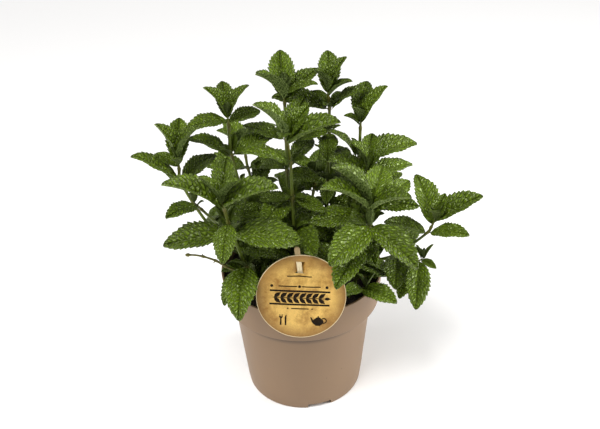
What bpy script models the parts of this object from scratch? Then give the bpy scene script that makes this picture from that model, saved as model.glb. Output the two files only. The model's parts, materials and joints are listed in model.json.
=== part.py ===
"""A mint plant in a 13 cm nursery pot: pot, peat, stems, leaves and a round card label on a stick.

Metres, +Z up. The origin is the middle of the pot's underside, and the front faces -Y.
"""
import math

import bpy
import bmesh
from mathutils import Matrix, Vector
from mathutils.bvhtree import BVHTree

MM = 0.001
GAP = 0.3 * MM

# Pot: a 13 cm pot, measured across its rim.
POT_HEIGHT = 112 * MM
RIM_RADIUS = 65 * MM
COLLAR_HEIGHT = 85 * MM
COLLAR_RADIUS = 62.6 * MM
BODY_TOP_RADIUS = 56.6 * MM
FOOT_RADIUS = 48 * MM
WALL = 1.4 * MM
FLOOR = 1.6 * MM
POT_STEPS = 40

# Drainage: a channel under the floor, holes up through it and notches out through the foot.
CHANNEL_RISE = 5 * MM
CHANNEL_INNER = 33 * MM
CHANNEL_OUTER = 41 * MM
DRAIN_HOLES = 6
DRAIN_HOLE_RADIUS = 3 * MM
DRAIN_AZIMUTH = 34
NOTCHES = 3
NOTCH_WIDTH = 20 * MM
NOTCH_HEIGHT = 4.4 * MM
NOTCH_AZIMUTH = 14

# Soil
SOIL_TOP = 104 * MM
STEM_SOCKET_DEPTH = 14 * MM

# Label: the card leans back a little more than its stick, which is woven through two slits.
CARD_RADIUS = 33.3 * MM
CARD_THICKNESS = 0.6 * MM
CARD_CENTRE = Vector((-1, -62.2, 127)) * MM
CARD_LEAN = 13
CARD_TURN = 4.2
WINDOW_WIDTH = 12.5 * MM
WINDOW_HEIGHT = 9.2 * MM
WINDOW_ASIDE = -1.8 * MM
WINDOW_RISE = 23 * MM
BAND_BOW = 5 * MM
BAND_FLAT = 3 * MM
STICK_WIDTH = 4 * MM
STICK_THICKNESS = 1.2 * MM
STICK_TOP = Vector((-2.9, -52.9, 165.6)) * MM
STICK_LENGTH = 78 * MM
STICK_LEAN = 4
STICK_TURN = -5

# Plant
STEM_RADIUS = 1.45 * MM
STEM_TIP_SHARE = 0.72
TWIG_RADIUS = 0.8 * MM
COLLAR_WALL = 1.1 * MM
NODE_HEIGHT = 3.2 * MM
LEAF_THICKNESS = 0.8 * MM
LEAF_WIDTH_SHARE = 0.48
LEAF_ARCH = 0.09
LEAF_FOLD = 0.3
LEAF_CLEARANCE = 0.35 * MM
BUD_RADIUS = 1.9 * MM
BUD_HEIGHT = 8 * MM
BUD_STEP = 1.4 * MM
BUD_MIDDLE = BUD_HEIGHT / 2 + GAP

# Each shoot: its way up in millimetres, from the soil to the middle of its bud, its crown's leaves, and
# its leaf pairs by the point of the way they grow at. A leaf is (azimuth, rise, length): azimuth 0 points
# to the front and 90 to the right, rise is degrees above level, and length is in millimetres.
SHOOTS = {
    "a": {
        "way": [(-8, 6), (-9, 16, 165), (-9, 24, 214), (-9, 25, 248)],
        "crown": [(122, 33, 36), (-175, 47, 40), (-60, 49, 38), (5, 60, 22), (79, 65, 28)],
        "pairs": {2: [(-105, 12, 34), (80, 15, 32)], 1: [(-8, 2, 44), (174, 5, 40)]},
    },
    "b": {
        "way": [(16, 16), (22, 27, 150), (24, 30, 196), (25, 32, 235), (24, 32, 248)],
        "crown": [(65, 40, 24), (-176, 44, 36), (115, 50, 30), (-60, 62, 22)],
        "pairs": {
            3: [(-94, 26, 44), (76, 36, 34)],
            2: [(-32, 44, 26), (35, 31, 28)],
            1: [(-70, 5, 44), (108, 0, 42)],
        },
    },
    "c": {
        "way": [(30, 8), (42, 16, 150), (47, 19, 199), (48, 20, 228)],
        "crown": [(-78, 37, 16), (166, 42, 36), (99, 48, 34), (-10, 50, 22)],
        "pairs": {2: [(-84, 38, 34), (101, 8, 46)], 1: [(-12, 0, 44), (165, 5, 40)]},
    },
    "d": {
        "way": [(-22, 8), (-40, 14, 155), (-51, 15, 206), (-52, 20, 234)],
        "crown": [(122, 5, 28), (-56, 8, 36), (-169, 41, 32), (-112, 49, 29), (136, 54, 28)],
        "pairs": {2: [(-81, 29, 36), (118, 24, 38)], 1: [(14, 0, 44), (-160, 5, 40)]},
    },
    "e": {
        "way": [(-38, -2), (-68, -4, 150), (-89, -5, 195), (-89, -5, 211)],
        "crown": [(-112, 24, 20), (-8, 42, 20), (179, 45, 36), (-87, 60, 34), (92, 70, 32)],
        "pairs": {2: [(-76, 48, 44), (135, 14, 36)]},
    },
    "f": {
        "way": [(-4, -16), (-5, -8, 150), (-6, 0, 206), (-8, 0, 225)],
        "crown": [(68, 31, 48), (153, 37, 40), (128, 45, 30), (-72, 55, 40), (-15, 62, 24)],
        "pairs": {2: [(-64, 26, 42), (150, 10, 34)], 1: [(17, 14, 52), (178, 0, 42)]},
    },
    "g": {
        "way": [(-34, -26), (-42, -35, 137), (-50, -40, 170), (-52, -41, 180), (-55, -40, 195)],
        "crown": [(-88, 27, 48), (72, 28, 48), (176, 31, 40), (-83, 58, 28), (60, 62, 26)],
        "pairs": {
            3: [(-4, -16, 37), (172, 10, 36)],
            2: [(-84, -7, 50), (74, 0, 52)],
            1: [(2, -10, 52), (-42, -42, 33)],
        },
    },
    "h": {
        "way": [(-36, -12), (-60, -17, 160), (-76, -20, 183)],
        "crown": [(-39, 9, 33), (60, 40, 8)],
        "pairs": {},
    },
    "j": {
        "way": [(36, -6), (46, -3, 140), (51, -1, 180), (52, 0, 196)],
        "crown": [(114, -2, 40), (-73, 28, 36), (168, 38, 33), (109, 41, 22), (-84, 62, 29)],
        "pairs": {2: [(15, 20, 34), (-165, 10, 36)]},
    },
    "k": {
        "way": [(24, -26), (38, -38, 130), (45, -42, 155), (51, -41, 174), (50, -40, 187)],
        "crown": [(127, 18, 42), (160, 27, 42), (58, 32, 38), (-69, 34, 46), (-79, 56, 46)],
        "pairs": {
            3: [(-39, -8, 50), (36, -13, 50)],
            2: [(-27, -6, 46), (120, 5, 36)],
        },
    },
    "l": {
        "way": [(46, -6), (76, -9, 126), (99, -12, 148), (103, -11, 156)],
        "crown": [(-164, 38, 44), (140, 48, 25), (96, 52, 42), (-30, 52, 20)],
        "pairs": {2: [(-76, 21, 37), (53, 15, 34)], 1: [(-8, -5, 40), (150, 5, 38)]},
    },
    "m": {
        "way": [(42, -20), (72, -25, 118), (91, -27, 132)],
        "crown": [(-42, -46, 32), (-10, -27, 42), (43, -2, 15), (-114, 60, 12)],
        "pairs": {},
    },
    "n": {
        "way": [(-18, 30), (-32, 44, 140), (-42, 56, 172), (-44, 60, 186)],
        "crown": [(-150, 30, 38), (110, 35, 34), (-80, 45, 30), (20, 58, 28)],
        "pairs": {2: [(-95, 5, 42), (92, 8, 40)]},
    },
    "o": {
        "way": [(4, 36), (8, 46, 130), (12, 56, 148), (14, 58, 158)],
        "crown": [(170, 22, 36), (90, 34, 32), (-90, 38, 34), (0, 62, 26)],
        "pairs": {2: [(130, 6, 42), (-130, 2, 42)]},
    },
    "p": {
        "way": [(34, 26), (48, 34, 124), (58, 40, 142), (61, 41, 153)],
        "crown": [(130, 15, 36), (45, 30, 32), (-120, 48, 30), (-45, 50, 24)],
        "pairs": {2: [(75, 5, 40), (170, 0, 42)]},
    },
    "q": {
        "way": [(36, -34), (46, -39, 116)],
        "crown": [(44, 6, 35), (-49, 15, 23)],
        "pairs": {},
    },
}

# The bare twig low on the left carries only a dry bud.
TWIG_WAY = [(-42, -22), (-62, -36, 142), (-70, -38, 148), (-78, -40, 152), (-90, -43, 155)]

TAUPE = (0.46, 0.37, 0.31)
PEAT = (0.02, 0.016, 0.013)
KRAFT = (0.66, 0.44, 0.17)
PALE_WOOD = (0.78, 0.64, 0.42)
LEAF_GREEN = (0.08, 0.2, 0.03)
YOUNG_GREEN = (0.13, 0.28, 0.04)
STEM_GREEN = (0.2, 0.24, 0.07)
DRY_TWIG = (0.12, 0.1, 0.03)


def clear_scene():
    for thing in list(bpy.data.objects):
        bpy.data.objects.remove(thing, do_unlink=True)


def new_collection(name):
    made = bpy.data.collections.new(name)
    bpy.context.scene.collection.children.link(made)
    return made


def material(name, colour, roughness):
    """A plain Principled material; every part here is a non-metal."""
    made = bpy.data.materials.new(name)
    made.use_nodes = True
    shader = made.node_tree.nodes["Principled BSDF"]
    shader.inputs["Base Color"].default_value = (*colour, 1)
    shader.inputs["Roughness"].default_value = roughness
    shader.inputs["Metallic"].default_value = 0
    return made


def add_mesh(name, build, collection, finish=None):
    """An object whose mesh the function build fills in."""
    mesh = bpy.data.meshes.new(name)
    shape = bmesh.new()
    build(shape)
    shape.to_mesh(mesh)
    shape.free()
    made = bpy.data.objects.new(name, mesh)
    collection.objects.link(made)
    if finish:
        mesh.materials.append(finish)
    return made


def mark_as_cutter(thing):
    thing.hide_render = True
    thing.display_type = "WIRE"
    return thing


def boolean(target, tool, operation):
    step = target.modifiers.new(operation.title(), "BOOLEAN")
    step.operation = operation
    step.solver = "EXACT"
    step.object = tool


def turned(name, profile, steps, collection, finish=None, closed=False):
    """A turned shape: the profile runs down the outer side, top to bottom, as (radius, height) pairs."""

    def build(shape):
        points = [shape.verts.new((radius, 0, height)) for radius, height in profile]
        for first, second in zip(points, points[1:]):
            shape.edges.new((first, second))
        if closed:
            shape.edges.new((points[-1], points[0]))

    made = add_mesh(name, build, collection, finish)
    screw = made.modifiers.new("Turn", "SCREW")
    screw.steps = steps
    screw.render_steps = steps
    screw.use_merge_vertices = True
    screw.merge_threshold = 0.00001
    return made


def box(name, size, collection, finish=None):
    def build(shape):
        bmesh.ops.create_cube(shape, size=1)
        bmesh.ops.scale(shape, vec=size, verts=shape.verts)

    return add_mesh(name, build, collection, finish)


def cylinder(name, radius, length, segments, collection, finish=None):
    def build(shape):
        bmesh.ops.create_cone(
            shape, cap_ends=True, segments=segments, radius1=radius, radius2=radius, depth=length
        )

    return add_mesh(name, build, collection, finish)


# Pot ---------------------------------------------------------------------------------------------


def pot_inner_profile(gap):
    """The pot's inner wall from the rim down to the floor's edge, moved in by gap."""
    raised_floor = CHANNEL_RISE + FLOOR
    return [
        (RIM_RADIUS - WALL - gap, POT_HEIGHT - 0.4 * MM),
        (COLLAR_RADIUS - WALL - gap, COLLAR_HEIGHT + WALL + gap),
        (BODY_TOP_RADIUS - WALL - gap, COLLAR_HEIGHT + 0.6 * MM + gap),
        (FOOT_RADIUS - WALL + 0.1 * MM - gap, raised_floor + gap),
        (CHANNEL_INNER - gap, raised_floor + gap),
        (CHANNEL_INNER - FLOOR - gap, FLOOR + gap),
    ]


def make_pot(parts, cutters, finish):
    outer = [
        (RIM_RADIUS - 0.9 * MM, POT_HEIGHT),
        (RIM_RADIUS - 0.3 * MM, POT_HEIGHT - 0.2 * MM),
        (RIM_RADIUS, POT_HEIGHT - 0.9 * MM),
        (COLLAR_RADIUS, COLLAR_HEIGHT),
        (COLLAR_RADIUS - 0.6 * MM, COLLAR_HEIGHT - 0.5 * MM),
        (BODY_TOP_RADIUS, COLLAR_HEIGHT - 0.8 * MM),
        (FOOT_RADIUS + 0.4 * MM, 1 * MM),
        (FOOT_RADIUS - 0.5 * MM, 0),
        (CHANNEL_OUTER, 0),
        (CHANNEL_OUTER - 0.5 * MM, CHANNEL_RISE),
        (CHANNEL_INNER + 0.5 * MM, CHANNEL_RISE),
        (CHANNEL_INNER, 0),
        (0, 0),
    ]
    inner = pot_inner_profile(0)
    pot = turned("pot", [(0, FLOOR), *reversed(inner), *outer], POT_STEPS, parts, finish)
    pot.data.shade_smooth()
    for i in range(DRAIN_HOLES):
        hole = cylinder("cut_drain_hole", DRAIN_HOLE_RADIUS, 12 * MM, 12, cutters)
        angle = math.radians(DRAIN_AZIMUTH) + math.tau * i / DRAIN_HOLES
        radius = (CHANNEL_INNER + CHANNEL_OUTER) / 2
        hole.location = (radius * math.sin(angle), -radius * math.cos(angle), CHANNEL_RISE)
        boolean(pot, mark_as_cutter(hole), "DIFFERENCE")
    for i in range(NOTCHES):
        reach = FOOT_RADIUS - CHANNEL_OUTER + 6 * MM
        notch = box("cut_notch", (NOTCH_WIDTH, reach, 2 * NOTCH_HEIGHT), cutters)
        angle = math.radians(NOTCH_AZIMUTH) + math.tau * i / NOTCHES
        radius = CHANNEL_OUTER - 3 * MM + reach / 2
        notch.location = (radius * math.sin(angle), -radius * math.cos(angle), 0)
        notch.rotation_euler.z = angle
        boolean(pot, mark_as_cutter(notch), "DIFFERENCE")
    return pot


# Soil --------------------------------------------------------------------------------------------


def make_soil(parts, cutters, finish, roots, stick_place):
    """The block of peat fills the pot to a little under the rim, and has a socket for each stem."""
    inner = pot_inner_profile(GAP)
    top_share = (SOIL_TOP - inner[1][1]) / (inner[0][1] - inner[1][1])
    edge = inner[1][0] + (inner[0][0] - inner[1][0]) * top_share
    profile = [
        (0, SOIL_TOP + 0.8 * MM),
        (24 * MM, SOIL_TOP + 0.2 * MM),
        (46 * MM, SOIL_TOP + 1.2 * MM),
        (edge, SOIL_TOP),
        *inner[1:],
        (0, FLOOR + GAP),
    ]
    soil = turned("soil", profile, POT_STEPS, parts, finish)
    soil.data.shade_smooth()
    depth = STEM_SOCKET_DEPTH + GAP
    for x, y in roots:
        socket = cylinder("cut_socket", STEM_RADIUS + 0.45 * MM, 2 * depth, 10, cutters)
        socket.location = (x, y, SOIL_TOP)
        boolean(soil, mark_as_cutter(socket), "DIFFERENCE")
    size = (STICK_WIDTH + 2 * GAP, STICK_THICKNESS + 2 * GAP, STICK_LENGTH + 2 * GAP)
    slot = box("cut_stick_slot", size, cutters)
    slot.matrix_world = stick_place
    boolean(soil, mark_as_cutter(slot), "DIFFERENCE")
    return soil


# Label -------------------------------------------------------------------------------------------


def leaning(lean, turn):
    """Turns a piece that stands facing the front: lean tips its top back, turn rolls it clockwise."""
    return Matrix.Rotation(math.radians(-lean), 4, "X") @ Matrix.Rotation(math.radians(turn), 4, "Y")


def make_card(parts, cutters, finish):
    """A round card with a window between its slits, bridged by the strip that bows behind the stick."""
    card = cylinder("label_card", CARD_RADIUS, CARD_THICKNESS, 48, parts, finish)
    card.data.transform(Matrix.Rotation(math.radians(90), 4, "X"))
    card.matrix_world = Matrix.Translation(CARD_CENTRE) @ leaning(CARD_LEAN, CARD_TURN)
    window = box("cut_window", (WINDOW_WIDTH, 4 * MM, WINDOW_HEIGHT), cutters)
    window.matrix_world = card.matrix_world @ Matrix.Translation((WINDOW_ASIDE, 0, WINDOW_RISE))
    boolean(card, mark_as_cutter(window), "DIFFERENCE")
    reach = WINDOW_WIDTH / 2 + 1 * MM

    def build(shape):
        bmesh.ops.create_grid(shape, x_segments=10, y_segments=1, size=1)
        for v in shape.verts:
            x = v.co.x * reach
            share = min(1, max(0, (WINDOW_WIDTH / 2 - abs(x)) / (WINDOW_WIDTH / 2 - BAND_FLAT)))
            bow = BAND_BOW * (3 - 2 * share) * share * share
            v.co = (x, bow, v.co.y * (WINDOW_HEIGHT / 2 - 0.4 * MM))

    band = add_mesh("band_of_card", build, cutters)
    band.matrix_world = window.matrix_world
    wall = band.modifiers.new("Card thickness", "SOLIDIFY")
    wall.thickness = CARD_THICKNESS * 0.9
    wall.offset = 0
    boolean(card, mark_as_cutter(band), "UNION")
    return card


def stick_matrix():
    """The stick's middle, with its length along its own Z."""
    turn = leaning(STICK_LEAN, STICK_TURN)
    return Matrix.Translation(STICK_TOP) @ turn @ Matrix.Translation((0, 0, -STICK_LENGTH / 2))


def make_stick(parts, finish):
    """A flat stick with a round top and a blunt point."""
    half = STICK_WIDTH / 2
    end = STICK_LENGTH / 2
    outline = [(-half, 6 * MM - end), (-0.8 * MM, -end), (0.8 * MM, -end), (half, 6 * MM - end)]
    for i in range(7):
        angle = math.pi * i / 6
        outline.append((half * math.cos(angle), end - half + half * math.sin(angle)))
    curve = bpy.data.curves.new("label_stick", "CURVE")
    curve.dimensions = "2D"
    curve.fill_mode = "BOTH"
    curve.extrude = STICK_THICKNESS / 2
    line = curve.splines.new("POLY")
    line.points.add(len(outline) - 1)
    line.use_cyclic_u = True
    for point, (x, z) in zip(line.points, outline):
        point.co = (x, z, 0, 1)
    curve.materials.append(finish)
    stick = bpy.data.objects.new("label_stick", curve)
    parts.objects.link(stick)
    stick.matrix_world = stick_matrix() @ Matrix.Rotation(math.radians(90), 4, "X")
    return stick


# Stems -------------------------------------------------------------------------------------------


GROUND_POINTS = 3


def full_way(way):
    """The stem's points in metres: straight up through the soil, along the way, and up to its bud."""
    x, y = way[0]
    heights = (SOIL_TOP - STEM_SOCKET_DEPTH, SOIL_TOP, SOIL_TOP + 4 * MM)
    points = [Vector((x * MM, y * MM, z)) for z in heights]
    points += [Vector(point) * MM for point in way[1:]]
    points[-1] -= (points[-1] - points[-2]).normalized() * BUD_MIDDLE
    return points


def way_headings(points):
    """The direction of the stem at each point: straight up out of the soil, then along its way."""
    ends = [points[0], *points, points[-1]]
    headings = [(after - before).normalized() for before, after in zip(ends, ends[2:])]
    return [Vector((0, 0, 1))] * GROUND_POINTS + headings[GROUND_POINTS:]


def smooth_way(points, per_span):
    """Points on a smooth curve through the given ones, with each span's bend in scale with its length."""
    headings = way_headings(points)
    line = []
    for i in range(len(points) - 1):
        a, b = points[i], points[i + 1]
        span = (b - a).length
        for j in range(per_span):
            t = j / per_span
            start = a * (2 * t**3 - 3 * t**2 + 1) + headings[i] * span * (t**3 - 2 * t**2 + t)
            end = b * (3 * t**2 - 2 * t**3) + headings[i + 1] * span * (t**3 - t**2)
            line.append(start + end)
    line.append(points[-1])
    return line


def make_stem(name, points, radius, parts, finish):
    """A mint stem is square in section, and thins towards its tip."""
    line = smooth_way(points, 3)
    curve = bpy.data.curves.new(name, "CURVE")
    curve.dimensions = "3D"
    curve.bevel_depth = radius
    curve.bevel_resolution = 0
    curve.use_fill_caps = True
    spline = curve.splines.new("POLY")
    spline.points.add(len(line) - 1)
    for i, (point, place) in enumerate(zip(spline.points, line)):
        point.co = (*place, 1)
        point.radius = 1 + (STEM_TIP_SHARE - 1) * i / (len(line) - 1)
    curve.materials.append(finish)
    stem = bpy.data.objects.new(name, curve)
    parts.objects.link(stem)
    return stem


# Leaves ------------------------------------------------------------------------------------------

STATIONS = (0, 0.12, 0.36, 0.7, 1)
WIDTHS = (0, 0.45, 1, 0.8, 0)
PETIOLE_HALF_WIDTH = 0.7 * MM
TIP_HALF_WIDTH = 1.2 * MM


def heading(azimuth, rise):
    a = math.radians(azimuth)
    r = math.radians(rise)
    return Vector((math.sin(a) * math.cos(r), -math.cos(a) * math.cos(r), math.sin(r)))


def leaf_frame(base, azimuth, rise):
    """X runs from base to tip, and Z is the side that faces the sky or, on an upright leaf, the stem."""
    along = heading(azimuth, rise)
    up = heading(azimuth, rise + 90)
    across = up.cross(along)
    frame = Matrix((along, across, up)).transposed().to_4x4()
    return Matrix.Translation(base) @ frame


def blade_point(station, side, length):
    """A point of the blade in its own frame: side is -1 and 1 at the edges and 0 at the midrib."""
    share = STATIONS[station]
    least = TIP_HALF_WIDTH if station == len(STATIONS) - 1 else PETIOLE_HALF_WIDTH
    y = side * max(least, WIDTHS[station] * length * LEAF_WIDTH_SHARE / 2)
    rise = 4 * LEAF_ARCH * length * share * (1 - share)
    return Vector((share * length, y, rise + LEAF_FOLD * abs(y)))


def blade_slab(frame, length, half, first_station=0):
    """The leaf with some air round it, from a station to its tip, for finding it a free place."""
    sides = (-1, 0, 1)
    corners = []
    for layer in (half, -half):
        for station in range(first_station, len(STATIONS)):
            for side in sides:
                corners.append(frame @ (blade_point(station, side, length) + Vector((0, 0, layer))))
    rows = len(STATIONS) - first_station
    faces = []
    for layer in (0, rows * 3):
        for i in range(rows - 1):
            for j in (0, 1):
                k = layer + 3 * i + j
                faces.append((k, k + 3, k + 4, k + 1))
    for i in range(rows - 1):
        for j in (0, 2):
            k = 3 * i + j
            faces.append((k, k + 3, k + 3 + 3 * rows, k + 3 * rows))
    return BVHTree.FromPolygons(corners, faces)


def tries():
    """Turns to try on a leaf, in degrees of azimuth and rise, the smallest first."""
    steps = range(-48, 49, 6)
    return sorted(((a, r) for a in steps for r in steps), key=lambda s: (s[0] ** 2 + s[1] ** 2, s))


def free_place(base_of, azimuth, rise, length, taken, sisters):
    """A leaf gives way to what is there already: it takes the nearest free direction.

    Its sisters grow from the same node, so only their blades may not cross."""
    half = LEAF_THICKNESS / 2
    for turn, tilt in tries():
        frame = leaf_frame(base_of(azimuth + turn), azimuth + turn, rise + tilt)
        if any(blade_slab(frame, length, half + LEAF_CLEARANCE).overlap(other) for other in taken):
            continue
        if not any(blade_slab(frame, length, half, 1).overlap(sister) for sister in sisters):
            return frame
    return None


def make_leaf(name, frame, length, cutters):
    def build(shape):
        bmesh.ops.create_grid(shape, x_segments=len(STATIONS) - 1, y_segments=2, size=1)
        for v in shape.verts:
            station = round((v.co.x + 1) / 2 * (len(STATIONS) - 1))
            v.co = blade_point(station, round(v.co.y), length)

    leaf = add_mesh(name, build, cutters)
    leaf.matrix_world = frame
    blade = leaf.modifiers.new("Blade", "SOLIDIFY")
    blade.thickness = LEAF_THICKNESS
    blade.offset = 0
    return mark_as_cutter(leaf)


def grow_leaves(target, base_of, leaves, taken, cutters):
    """Joins to the target each leaf that finds a place clear of what is taken."""
    sisters = []
    for number, (azimuth, rise, length) in enumerate(leaves):
        size = length * MM
        frame = free_place(lambda turned: base_of(number, turned), azimuth, rise, size, taken, sisters)
        if frame is None:
            continue
        boolean(target, make_leaf(target.name + "_blade", frame, size, cutters), "UNION")
        sisters.append(blade_slab(frame, size, LEAF_THICKNESS / 2, 1))


def standing(place, direction):
    return Matrix.Translation(place) @ direction.to_track_quat("Z", "Y").to_matrix().to_4x4()


def make_node(name, place, direction, parts, finish):
    """The swelling that a pair of leaves grows from, a ring round the stem."""
    inner = STEM_RADIUS + 0.35 * MM
    outer = inner + COLLAR_WALL
    half = NODE_HEIGHT / 2
    ring = [(inner, half), (outer, half), (outer, -half), (inner, -half)]
    node = turned(name, ring, 8, parts, finish, closed=True)
    node.matrix_world = standing(place, direction)
    return node


def grow_pair(node, place, leaves, taken, cutters):
    """A pair of leaves grows from the middle of its node's wall."""
    reach = STEM_RADIUS + 0.35 * MM + COLLAR_WALL / 2
    grow_leaves(node, lambda _, azimuth: place + heading(azimuth, 0) * reach, leaves, taken, cutters)


def make_crown(name, place, direction, leaves, taken, parts, cutters, finish):
    """The young leaves round the bud at the stem's tip, the most upright highest."""
    middle = place + direction * BUD_MIDDLE

    def build(shape):
        bmesh.ops.create_uvsphere(shape, u_segments=8, v_segments=6, radius=BUD_RADIUS)
        bmesh.ops.scale(shape, vec=(1, 1, BUD_HEIGHT / 2 / BUD_RADIUS), verts=shape.verts)

    def base_of(number, azimuth):
        step = number - (len(leaves) - 1) / 2
        return middle + heading(azimuth, 0) * 0.9 * MM + direction * step * BUD_STEP

    crown = add_mesh(name, build, parts, finish)
    crown.matrix_world = standing(middle, direction)
    grow_leaves(crown, base_of, leaves, taken, cutters)
    return crown


def surface_of(thing):
    """The finished surface of an object, for finding leaves a place clear of it."""
    graph = bpy.context.evaluated_depsgraph_get()
    shown = thing.evaluated_get(graph)
    mesh = shown.to_mesh()
    place = thing.matrix_world
    corners = [place @ v.co for v in mesh.vertices]
    faces = [tuple(p.vertices) for p in mesh.polygons]
    shown.to_mesh_clear()
    return BVHTree.FromPolygons(corners, faces)


# The whole ---------------------------------------------------------------------------------------


def build_plant(parts, cutters, taken):
    leaf = material("mint leaf", LEAF_GREEN, 0.5)
    young = material("young mint leaf", YOUNG_GREEN, 0.5)
    green_stem = material("mint stem", STEM_GREEN, 0.55)
    ways = {}
    for shoot, plan in SHOOTS.items():
        points = full_way(plan["way"])
        stem = make_stem("stem_" + shoot, points, STEM_RADIUS, parts, green_stem)
        ways[shoot] = (points, way_headings(points))
        taken.append(surface_of(stem))
    twig = make_stem("twig", full_way(TWIG_WAY), TWIG_RADIUS, parts, material("dry twig", DRY_TWIG, 0.8))
    taken.append(surface_of(twig))
    nodes = []
    for shoot, plan in SHOOTS.items():
        points, headings = ways[shoot]
        for number, (at, leaves) in enumerate(plan["pairs"].items(), 1):
            i = at + GROUND_POINTS - 1
            node = make_node(f"leaf_pair_{shoot}{number}", points[i], headings[i], parts, leaf)
            nodes.append((node, points[i], leaves))
    bpy.context.view_layer.update()
    rings = [surface_of(node) for node, _, _ in nodes]
    for shoot, plan in SHOOTS.items():
        points, headings = ways[shoot]
        clear_of = taken + rings
        crown = make_crown(
            "crown_" + shoot, points[-1], headings[-1], plan["crown"], clear_of, parts, cutters, young
        )
        taken.append(surface_of(crown))
    for number, (node, place, leaves) in enumerate(nodes):
        others = rings[:number] + rings[number + 1 :]
        grow_pair(node, place, leaves, taken + others, cutters)
        taken.append(surface_of(node))


def build():
    clear_scene()
    parts = new_collection("potted_mint")
    cutters = new_collection("cutters")
    pot = make_pot(parts, cutters, material("taupe plastic", TAUPE, 0.6))
    roots = [Vector(plan["way"][0]) * MM for plan in SHOOTS.values()] + [Vector(TWIG_WAY[0]) * MM]
    soil = make_soil(parts, cutters, material("peat", PEAT, 0.95), roots, stick_matrix())
    card = make_card(parts, cutters, material("kraft card", KRAFT, 0.8))
    stick = make_stick(parts, material("pale wood", PALE_WOOD, 0.7))
    bpy.context.view_layer.update()
    taken = [surface_of(thing) for thing in (pot, soil, card, stick)]
    build_plant(parts, cutters, taken)


build()
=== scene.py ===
"""A potted mint plant, put together in the order a grower does it: pot, peat, stems, leaves and label."""
import json
import math

import bmesh
import bpy
import numpy as np
from mathutils import Matrix, Vector, noise
from mathutils.bvhtree import BVHTree
from mathutils.kdtree import KDTree

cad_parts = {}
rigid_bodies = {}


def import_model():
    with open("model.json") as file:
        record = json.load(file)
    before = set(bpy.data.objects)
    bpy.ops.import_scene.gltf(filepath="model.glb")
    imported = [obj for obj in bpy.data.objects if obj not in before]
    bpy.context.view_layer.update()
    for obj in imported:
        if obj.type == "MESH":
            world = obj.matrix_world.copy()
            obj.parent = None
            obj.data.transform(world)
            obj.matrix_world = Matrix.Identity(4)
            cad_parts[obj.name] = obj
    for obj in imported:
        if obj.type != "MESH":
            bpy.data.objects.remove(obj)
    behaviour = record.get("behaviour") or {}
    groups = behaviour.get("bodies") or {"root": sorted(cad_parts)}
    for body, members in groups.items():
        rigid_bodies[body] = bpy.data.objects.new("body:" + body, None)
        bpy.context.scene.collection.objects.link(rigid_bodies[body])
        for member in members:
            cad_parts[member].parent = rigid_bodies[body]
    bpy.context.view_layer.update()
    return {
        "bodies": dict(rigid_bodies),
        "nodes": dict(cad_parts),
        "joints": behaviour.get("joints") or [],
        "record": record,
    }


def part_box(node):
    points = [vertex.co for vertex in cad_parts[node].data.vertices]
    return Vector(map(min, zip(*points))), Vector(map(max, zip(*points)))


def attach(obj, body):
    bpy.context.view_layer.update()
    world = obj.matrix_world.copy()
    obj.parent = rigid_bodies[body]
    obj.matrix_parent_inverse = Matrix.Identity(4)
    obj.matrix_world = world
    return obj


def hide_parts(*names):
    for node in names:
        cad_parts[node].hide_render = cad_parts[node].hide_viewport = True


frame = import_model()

# Pot ---------------------------------------------------------------------------------------------
# A tapered 13 cm nursery pot, injection moulded in one piece from recycled polypropylene. Its deep
# collar lets pots be stacked and lifted, and a channel under the floor drains out through notches
# in the foot.

MM = 0.001


def linear(colour):
    """An sRGB hex colour as the linear values that a shader takes."""
    parts = [int(colour[i : i + 2], 16) / 255 for i in (1, 3, 5)]
    return (*(p / 12.92 if p <= 0.04045 else ((p + 0.055) / 1.055) ** 2.4 for p in parts), 1)


# Short words for the nodes in use most: the type, its inputs in order, its settings, and the output
# that is used where that is not the first.
KINDS = {
    "coordinates": ("ShaderNodeTexCoord", (), {}, "Object"),
    "place kept in": ("ShaderNodeAttribute", ("attribute_name",), {}, "Vector"),
    "number kept in": ("ShaderNodeAttribute", ("attribute_name",), {}, "Fac"),
    "attribute": ("GeometryNodeInputNamedAttribute", ("data_type", "Name"), {}),
    "parts": ("ShaderNodeSeparateXYZ", ("Vector",), {}),
    "joined parts": ("ShaderNodeCombineXYZ", ("X", "Y", "Z"), {}),
    "stretched": ("ShaderNodeMapping", ("Vector", "Scale"), {}),
    "noise": ("ShaderNodeTexNoise", ("Vector", "Scale", "Detail", "Roughness"), {}),
    "cells": ("ShaderNodeTexVoronoi", ("Vector", "Scale"), {}),
    "range": ("ShaderNodeMapRange", ("Value", "From Min", "From Max", "To Min", "To Max"), {}),
    "mix": ("ShaderNodeMix", ("Factor", "A", "B"), {"data_type": "RGBA"}),
    "scaled": ("ShaderNodeVectorMath", (0, "Scale"), {"operation": "SCALE"}),
    "bump": ("ShaderNodeBump", ("Height", "Strength", "Distance"), {}),
    "random": ("FunctionNodeRandomValue", ("data_type", "Min", "Max", "Seed"), {}),
    "set on points": ("GeometryNodeInstanceOnPoints", ("Points", "Selection", "Instance"), {}),
}
KINDS["soft range"] = (*KINDS["range"][:2], {"interpolation_type": "SMOOTHSTEP"})


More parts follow.
